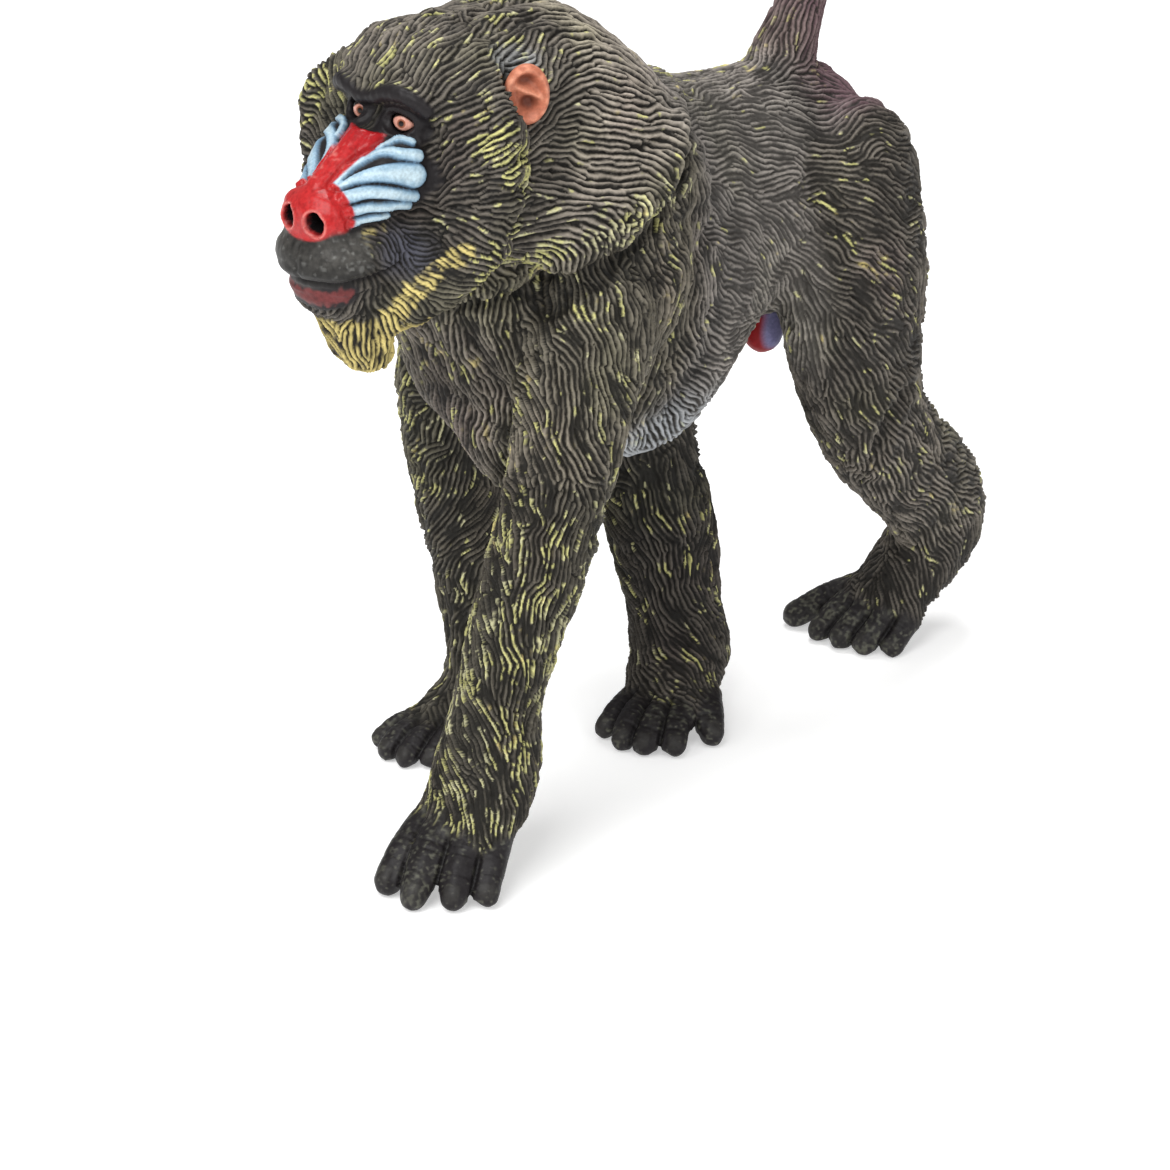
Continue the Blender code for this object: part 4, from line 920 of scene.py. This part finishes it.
def coarse_copy(obj, owner_of):
    """A light copy of the skin, one mesh for each solid, unwrapped by its own shape.

    Gives the corners of its triangles, whose each is, its corners' places in the unwrap, and its chart.
    """
    light = add_object("light", obj.data.copy())
    light.data.calc_loop_triangles()
    thin = light.modifiers.new("Thin out", "DECIMATE")
    thin.ratio = CHART_TRIANGLES / len(light.data.loop_triangles)
    bake_modifiers(light)
    bm = bmesh.new()
    bm.from_mesh(light.data)
    bmesh.ops.triangulate(bm, faces=bm.faces[:])
    bm.faces.ensure_lookup_table()
    owner = owner_of(np.array([f.calc_center_median()[:] for f in bm.faces]))
    corners, owners, places, charts = [], [], [], []
    chart_count = 0
    for k, name in enumerate(NAMES):
        piece = bm.copy()
        piece.faces.ensure_lookup_table()
        gone = [f for f in piece.faces if owner[f.index] != k]
        bmesh.ops.delete(piece, geom=gone, context="FACES")
        mesh = bpy.data.meshes.new("chart_" + name)
        piece.to_mesh(mesh)
        piece.free()
        part = add_object("chart_" + name, mesh)
        unwrap(part, 0.012)
        uv = read(mesh.uv_layers.active.data, "uv", 2).reshape(-1, 3, 2)
        vertex = mesh_faces(mesh, 3)
        label = chart_labels(vertex, uv)
        charts.append(label + chart_count)
        chart_count += label.max() + 1
        corners.append(mesh_points(mesh)[vertex])
        places.append(uv)
        owners.append(np.full(len(vertex), k))
        bpy.data.objects.remove(part)
        bpy.data.meshes.remove(mesh)
    bm.free()
    bpy.data.objects.remove(light)
    return np.concatenate(corners), np.concatenate(owners), np.concatenate(places), np.concatenate(charts)


def barycentric(points, tri):
    """Shares of the corners of each triangle at each point, also for points beside it."""
    a, b, c = tri[:, 0], tri[:, 1], tri[:, 2]
    u, v, w = b - a, c - a, points - a
    uu, uv, vv = (u * u).sum(1), (u * v).sum(1), (v * v).sum(1)
    wu, wv = (w * u).sum(1), (w * v).sum(1)
    det = np.maximum(uu * vv - uv * uv, 1e-12)
    s = (vv * wu - uv * wv) / det
    t = (uu * wv - uv * wu) / det
    return np.stack([1 - s - t, s, t], 1)


def share_unwrap(points, faces, middles, coarse_of, charts):
    """Whose each face is, and the place of each of its corners in the unwrap of the light copy."""
    corners, owners, places, chart = charts
    apart = np.arange(len(corners) * 3).reshape(-1, 3)
    tree = BVHTree.FromPolygons(corners.reshape(-1, 3).tolist(), apart.tolist())
    at_coarse = np.array([tree.find_nearest(Vector(p))[2] for p in middles])
    at_face = at_coarse[coarse_of]
    flat = faces.ravel()
    own = np.repeat(at_face, 4)
    at_vertex = np.zeros(len(points), dtype=np.int64)
    at_vertex[flat] = own
    use = np.where(chart[at_vertex[flat]] == chart[own], at_vertex[flat], own)
    share = barycentric(points[flat], corners[use])
    return owners[at_face], np.clip((share[:, :, None] * places[use]).sum(1), 0.0, 1.0)


def part_skin(final, faces, face_owner, uv, normals, colour, rough, shift, paint):
    """One object for each solid, cut from the finished skin, with the shared unwrap and colours."""
    made = {}
    for k, name in enumerate(NAMES):
        chosen = np.flatnonzero(face_owner == k)
        used, local = np.unique(faces[chosen], return_inverse=True)
        mesh = bpy.data.meshes.new("skin_" + name)
        mesh.vertices.add(len(used))
        mesh.loops.add(len(chosen) * 4)
        mesh.polygons.add(len(chosen))
        mesh.loops.foreach_set("vertex_index", local.ravel().astype(np.int32))
        mesh.polygons.foreach_set("loop_start", np.arange(0, len(chosen) * 4, 4, dtype=np.int32))
        mesh.vertices.foreach_set("co", ((final[used] + shift) * MM).astype(np.float32).ravel())
        mesh.update(calc_edges=True)
        layer = mesh.uv_layers.new(name="OFBake")
        loops = (chosen[:, None] * 4 + np.arange(4)).ravel()
        layer.data.foreach_set("uv", uv[loops].astype(np.float32).ravel())
        finish_mesh(mesh, colour[used], rough[used], paint)
        mesh.normals_split_custom_set_from_vertices(normals[used].tolist())
        made[name] = add_object("skin_" + name, mesh)
    return made


def finish_mesh(mesh, colour, rough, paint):
    """Stores the colour and the roughness of each vertex, and gives the mesh its paint."""
    rgba = np.concatenate([colour, np.ones((len(colour), 1))], 1)
    columns = {"paint": ("FLOAT_COLOR", "color", rgba), "rough": ("FLOAT", "value", rough)}
    for name, (kind, key, values) in columns.items():
        column = mesh.attributes.new(name, kind, "POINT")
        column.data.foreach_set(key, values.astype(np.float32).ravel())
    mesh.materials.append(paint)
    mesh.shade_smooth()


# Materials

def new_shader(name):
    material = bpy.data.materials.new(name)
    material.use_nodes = True
    return material, material.node_tree.nodes["Principled BSDF"]


def set_inputs(node, values):
    for key, value in values.items():
        node.inputs[key].default_value = value


def paint_material(name):
    """Colour and gloss from the painted columns, with a fine unevenness of the paint."""
    paint, shader = new_shader(name)
    tree = paint.node_tree

    def add(kind, values, **settings):
        node = tree.nodes.new("ShaderNode" + kind)
        for key, value in settings.items():
            setattr(node, key, value)
        set_inputs(node, values)
        return node

    set_inputs(shader, {"Metallic": 0.0, "Specular IOR Level": 0.22})
    colour = add("Attribute", {}, attribute_name="paint")
    gloss = add("Attribute", {}, attribute_name="rough")
    place = add("TexCoord", {})
    grain = add("TexNoise", {"Scale": 4200.0, "Detail": 3.0})
    shade = add("MapRange", {"From Min": 0.3, "From Max": 0.7, "To Min": 0.84, "To Max": 1.16})
    mix = add("Mix", {"Factor": 1.0}, data_type="RGBA", blend_type="MULTIPLY")
    bump = add("Bump", {"Strength": 0.3, "Distance": 0.00005})
    for start, output, end, socket in (
            (place, "Object", grain, "Vector"), (grain, "Fac", shade, "Value"), (colour, "Color", mix, "A"),
            (shade, "Result", mix, "B"), (mix, "Result", shader, "Base Color"),
            (gloss, "Fac", shader, "Roughness"), (grain, "Fac", bump, "Height"),
            (bump, "Normal", shader, "Normal")):
        tree.links.new(start.outputs[output], end.inputs[socket])
    return paint


# Eyes and ears

EYE_RADIUS = 1.0
EYE_FORWARD = 0.36
EYE_GAZE = {1: Vector((0.42, -1.0, 0.1)), -1: Vector((0.3, -1.0, 0.1))}
EYE_RING = np.array((0.62, 0.30, 0.23))
EYE_IRIS = np.array((0.26, 0.085, 0.045))
EYE_DARK = np.array((0.012, 0.008, 0.007))
PUPIL_RADIUS = 0.2
ALMOND = (0.94, 0.56)        # half length and half height of the lids' opening
EYE_ROUGH = 0.2


def smooth_piece(name, points, faces, colour, rough, shift, paint):
    mesh = bpy.data.meshes.new(name)
    mesh.from_pydata(((points + shift) * MM).tolist(), [], faces)
    finish_mesh(mesh, colour, np.full(len(points), rough), paint)
    return add_object(name, mesh)


def make_eye(side, shift, paint):
    """A ball with a pink almond round a dark pupil, and black beyond the lids."""
    points, faces = globe(48, 48)
    across, up = points[:, 1], points[:, 2]
    front = points[:, 0] > 0
    pupil = np.hypot(across, up) / PUPIL_RADIUS
    lids = np.maximum(ALMOND[1] * (1 - (across / ALMOND[0]) ** 2), 0.02)
    almond = np.abs(up + 0.12 * side * across) / lids
    colour = blend(EYE_RING, EYE_IRIS, ramp(pupil, 1.9, 1.6))
    colour = blend(colour, EYE_DARK, ramp(pupil, 1.2, 1.0))
    colour = blend(colour, EYE_DARK, np.maximum(ramp(almond, 0.88, 1.04), ~front))
    gaze = EYE_GAZE[side].normalized()
    turn = np.array(gaze.to_track_quat("X", "Z").to_matrix())
    place = EYE_PLACE * (side, 1, 1) + np.array(gaze) * EYE_FORWARD
    placed = points * EYE_RADIUS @ turn.T + place
    return smooth_piece("eyeball_" + SIDES[side], placed, faces, colour, EYE_ROUGH, shift, paint)


EAR_PLACES = {1: np.array((9.4, -17.9, 65.3)), -1: np.array((-9.8, -15.4, 63.5))}
EAR_RADII = np.array((1.0, 1.8, 2.45))
EAR_TURN = 34.0
EAR_BACK = -0.55             # how far the hollow may go in
EAR_COLOUR = np.array((0.46, 0.155, 0.09))
# darker salmon of the ear's hollows, painted shade, and lighter salmon of its rim and fold, a painted
# highlight
EAR_DEEP = np.array((0.15, 0.044, 0.026))
EAR_HIGHLIGHT = np.array((0.72, 0.33, 0.21))
EAR_ROUGH = 0.45


def make_ear(side, shift, paint):
    """A cupped oval with a rolled rim, a fold across it and a hollow below the fold; its hollows are painted
    darker as shade, its rim and fold lighter as a painted highlight, and its back is dark.
    """
    points, faces = globe(64, 96)
    across, up = points[:, 1], points[:, 2]
    radius = np.hypot(across, up)
    front = ramp(points[:, 0], -0.1, 0.35)
    fold = bell(up + 0.35 * across, 0.12, 0.13) * ramp(radius, 0.8, 0.55)
    hollow = ramp(np.hypot((across - 0.05) / 0.42, (up + 0.25) / 0.34), 1.1, 0.3)
    upper = ramp(np.hypot((across + 0.05) / 0.5, (up - 0.5) / 0.28), 1.1, 0.3)
    bowl = ramp(radius, 0.86, 0.45)
    depth = front * (0.85 * bowl + 0.5 * hollow + 0.32 * upper - 0.42 * fold * bowl)
    rim = front * bell(radius, 0.9, 0.1)
    local = points * EAR_RADII
    crumple = 0.07 * lattice_noise(local, 0.6, 32) * front
    local[:, 0] = np.maximum(local[:, 0] + 0.12 * rim - depth + crumple, EAR_BACK)
    grain = lattice_noise(local, 0.45, 31)
    # painted shade in the hollows, less on the raised fold
    hollow_shade = 0.85 * hollow + 0.6 * upper + 0.3 * bowl - 0.6 * fold
    colour = blend(EAR_COLOUR * (1 + 0.15 * grain)[:, None], EAR_DEEP, front * np.clip(hollow_shade, 0, 1))
    # painted highlight on the rim and the fold
    colour = blend(colour, EAR_HIGHLIGHT, np.clip(0.75 * rim * ramp(grain, -0.6, 0.5) + 0.5 * fold * front, 0, 1))
    # the back of the shell is much darker
    colour = blend(colour, EAR_DEEP * 0.4, ramp(points[:, 0], -0.15, -0.5))
    local[:, 0] *= side
    turn = np.array(Matrix.Rotation(-side * math.radians(EAR_TURN), 3, "Z"))
    placed = local @ turn.T + EAR_PLACES[side]
    if side < 0:
        faces = [tuple(reversed(f)) for f in faces]
    return smooth_piece("ear_shell_" + SIDES[side], placed, faces, colour, EAR_ROUGH, shift, paint)


# Build

def carve_fur(skin, strands, locks):
    """How far fur, wrinkles and clefts raise each vertex; stores the fur's crests and heights in skin."""
    points, bare = skin.points, skin.bare
    depth, unruly = skin.style[:, DEPTH], skin.style[:, UNRULY]
    furred = 1 - bare
    phase, sure = stripes(points, strands, KERNEL_REACH, ALIGN_ROUNDS, 1)
    phase += 0.8 * lattice_noise(points, 0.8, 43) + 0.5 * lattice_noise(points, 0.4, 44)
    lock_phase, _ = stripes(points, locks, LOCK_REACH, LOCK_ROUNDS, 2)
    lock = np.abs(np.sin(lock_phase / 2))
    dash = along_fur(points, skin.flow, 0.55, 41, 0.75)
    skin.crest = np.abs(np.sin(phase / 2)) * ramp(sure, 0.0, 0.3)
    skin.height = skin.crest ** (0.9 + 0.5 * unruly) * np.clip(1 + unruly * (0.5 * dash - 0.1), 0.3, 1.25)
    relief = depth * (skin.height - FUR_DEPTH_MIDDLE) * furred
    relief -= LOCK_DEPTH * (depth / 0.3) * (1 - lock) ** 1.5 * furred
    relief += 0.1 * lattice_noise(points, 1.2, 46) * unruly * furred
    relief += (0.03 * lattice_noise(points, 0.45, 42) + 0.05 * lattice_noise(points, 1.6, 45)) * bare
    return relief + 0.06 * skin.nail - 0.08 * skin.wrinkle - CLEFT_DEPTH * skin.cleft


def rest_soles(points):
    """Presses the soles a little into the floor and cuts them flat on it."""
    points[:, 2] = np.maximum(points[:, 2] - 0.07 * ramp(points[:, 2], 1.2, 0.4), 0.0)


def build_skin(frame, shift, paint):
    nodes = frame["nodes"]
    corners, triangles, whose = gather_solids(nodes, shift)
    solids = BVHTree.FromPolygons(corners.tolist(), triangles.tolist())

    def owner_of(points):
        return whose[[solids.find_nearest(Vector(p))[2] for p in points]]

    body = fuse(close_cuts(corners, triangles, whose, solids), triangles)
    mesh = body.data
    soften(mesh)
    quads = mesh_faces(mesh, 4)
    tree = BVHTree.FromPolygons(mesh_points(mesh).tolist(), quads.tolist())
    shade = shape_skin(mesh, tree)
    edges = mesh_edges(mesh)
    points, normals = mesh_points(mesh), mesh_normals(mesh)
    middles = points[quads].mean(1)
    owner = owner_of(points)
    style = spread(STYLE[owner], edges, STYLE_ROUNDS)
    flow = fur_flow(points, normals, owner, edges, centres(nodes, shift), style[:, UNRULY])
    fields = np.concatenate([flow, style, group_shares(owner, points, edges), shade[:, None]], 1)
    charts = coarse_copy(body, owner_of)
    strands, locks = sow_kernels(points, normals, flow, style[:, PITCH])

    # The finer mesh keeps the old vertices first, then has one for each edge and one for each face
    fields = np.concatenate([fields, fields[edges].mean(1), fields[quads].mean(1)])
    finer = body.modifiers.new("Finer", "SUBSURF")
    finer.levels = 1
    finer.render_levels = 1
    bake_modifiers(body)
    mesh = body.data
    faces = mesh_faces(mesh, 4)
    points, normals = mesh_points(mesh), mesh_normals(mesh)
    skin = SimpleNamespace(points=points, masks=face_masks(points, tree), flow=unit(fields[:, :3]),
                           style=fields[:, 3:9], groups=fields[:, 9:13], shade=fields[:, 13])
    digits, skin.wrinkle, skin.nail, skin.cleft = digit_fields(points, normals)
    skin.bare = np.maximum.reduce([digits, bare_face(points, skin.masks), skin.groups[:, 2]])
    relief = carve_fur(skin, strands, locks)
    final = points + normals * relief[:, None] + sculpt_face(points, normals, skin.masks)
    rest_soles(final)
    colour, rough = paint_skin(skin)
    set_points(mesh, final)
    coarse_of = faces.max(1) - (len(points) - len(quads))
    face_owner, uv = share_unwrap(points, faces, middles, coarse_of, charts)
    pieces = part_skin(final, faces, face_owner, uv, mesh_normals(mesh), colour, rough, shift, paint)
    bpy.data.objects.remove(body)
    for name, piece in pieces.items():
        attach(piece, "root")
        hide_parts(name)


# The photo's camera: where it is, the figure's scale in its frame, and where its target falls there
AZIMUTH, ELEVATION = math.radians(44), math.radians(23)
CAMERA_DISTANCE = 420.0
CAMERA_TARGET = np.array((0.0, 0.0, 25.0))
PIXELS_PER_MM = 12.0
TARGET_PIXEL = (600, 480)
FRAME_PIXELS = 1170
SENSOR_MM = 36.0

# Lamps: name, place and target in metres, size in metres, power in watts
LAMPS = [
    ("key", (0.10, -0.42, 0.50), (0, 0, 0.04), 0.45, 3.9),
    ("fill", (0.55, -0.05, 0.32), (0, 0, 0.03), 0.35, 1.0),
    ("top", (-0.1, 0.1, 0.6), (0, 0, 0.03), 0.25, 1.8),
]
FLOOR_REACH = 3.0
FLOOR_GLOW = 0.44
WORLD_LIGHT = 0.28


def camera(shift):
    """The photo's camera, level with its framing, and without shift."""
    back = np.array((math.sin(AZIMUTH) * math.cos(ELEVATION), -math.cos(AZIMUTH) * math.cos(ELEVATION),
                     math.sin(ELEVATION)))
    place = CAMERA_TARGET + back * CAMERA_DISTANCE
    focal = PIXELS_PER_MM * CAMERA_DISTANCE
    right = np.array((math.cos(AZIMUTH), math.sin(AZIMUTH), 0.0))
    up = np.cross(right, -back)
    middle = FRAME_PIXELS / 2
    aim = -back + right * (middle - TARGET_PIXEL[0]) / focal - up * (middle - TARGET_PIXEL[1]) / focal
    data = bpy.data.cameras.new("photo_camera")
    data.sensor_width = SENSOR_MM
    data.lens = focal / FRAME_PIXELS * SENSOR_MM
    data.clip_start = 0.01
    data.clip_end = 10.0
    cam = add_object("photo_camera", data)
    cam.location = Vector((place + shift) * MM)
    cam.rotation_mode = "QUATERNION"
    cam.rotation_quaternion = Vector(aim).to_track_quat("-Z", "Y")
    bpy.context.scene.camera = cam


def area_light(name, place, target, size, power):
    data = bpy.data.lights.new(name, "AREA")
    data.shape = "SQUARE"
    data.size = size
    data.energy = power
    lamp = add_object(name, data)
    lamp.location = place
    lamp.rotation_mode = "QUATERNION"
    lamp.rotation_quaternion = (Vector(target) - Vector(place)).to_track_quat("-Z", "Y")


def stage():
    mesh = bpy.data.meshes.new("floor")
    around_floor = [(x * FLOOR_REACH, y * FLOOR_REACH, 0) for x, y in ((-1, -1), (1, -1), (1, 1), (-1, 1))]
    mesh.from_pydata(around_floor, [], [(0, 1, 2, 3)])
    floor = add_object("floor", mesh)
    material, shader = new_shader("floor")
    set_inputs(shader, {"Base Color": (0.8, 0.8, 0.8, 1), "Roughness": 0.9, "Specular IOR Level": 0.1,
                        "Emission Color": (1.0, 1.0, 1.0, 1), "Emission Strength": FLOOR_GLOW})
    mesh.materials.append(material)
    world = bpy.data.worlds.new("studio")
    world.use_nodes = True
    background = world.node_tree.nodes["Background"]
    set_inputs(background, {"Color": (1.0, 0.995, 0.985, 1), "Strength": WORLD_LIGHT})
    scene = bpy.context.scene
    scene.world = world
    for lamp in LAMPS:
        area_light(*lamp)
    scene.view_settings.view_transform = "Standard"
    scene.view_settings.look = "None"
    scene.view_settings.exposure = 0.0


def main():
    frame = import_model()
    lo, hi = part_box("eye_left")
    shift = (np.array(lo) + np.array(hi)) / 2 / MM - EYE_PLACE
    paint = paint_material("painted_plastic")
    build_skin(frame, shift, paint)
    for side, word in SIDES.items():
        for piece, node, slot in ((make_eye(side, shift, paint), "eye_", "eye_gloss"),
                                  (make_ear(side, shift, paint), "ear_", "ear_paint")):
            piece.data.uv_layers.new(name="OFBake")
            unwrap(piece, 0.01)
            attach(piece, "root")
            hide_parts(node + word)
    camera(shift)
    stage()


main()
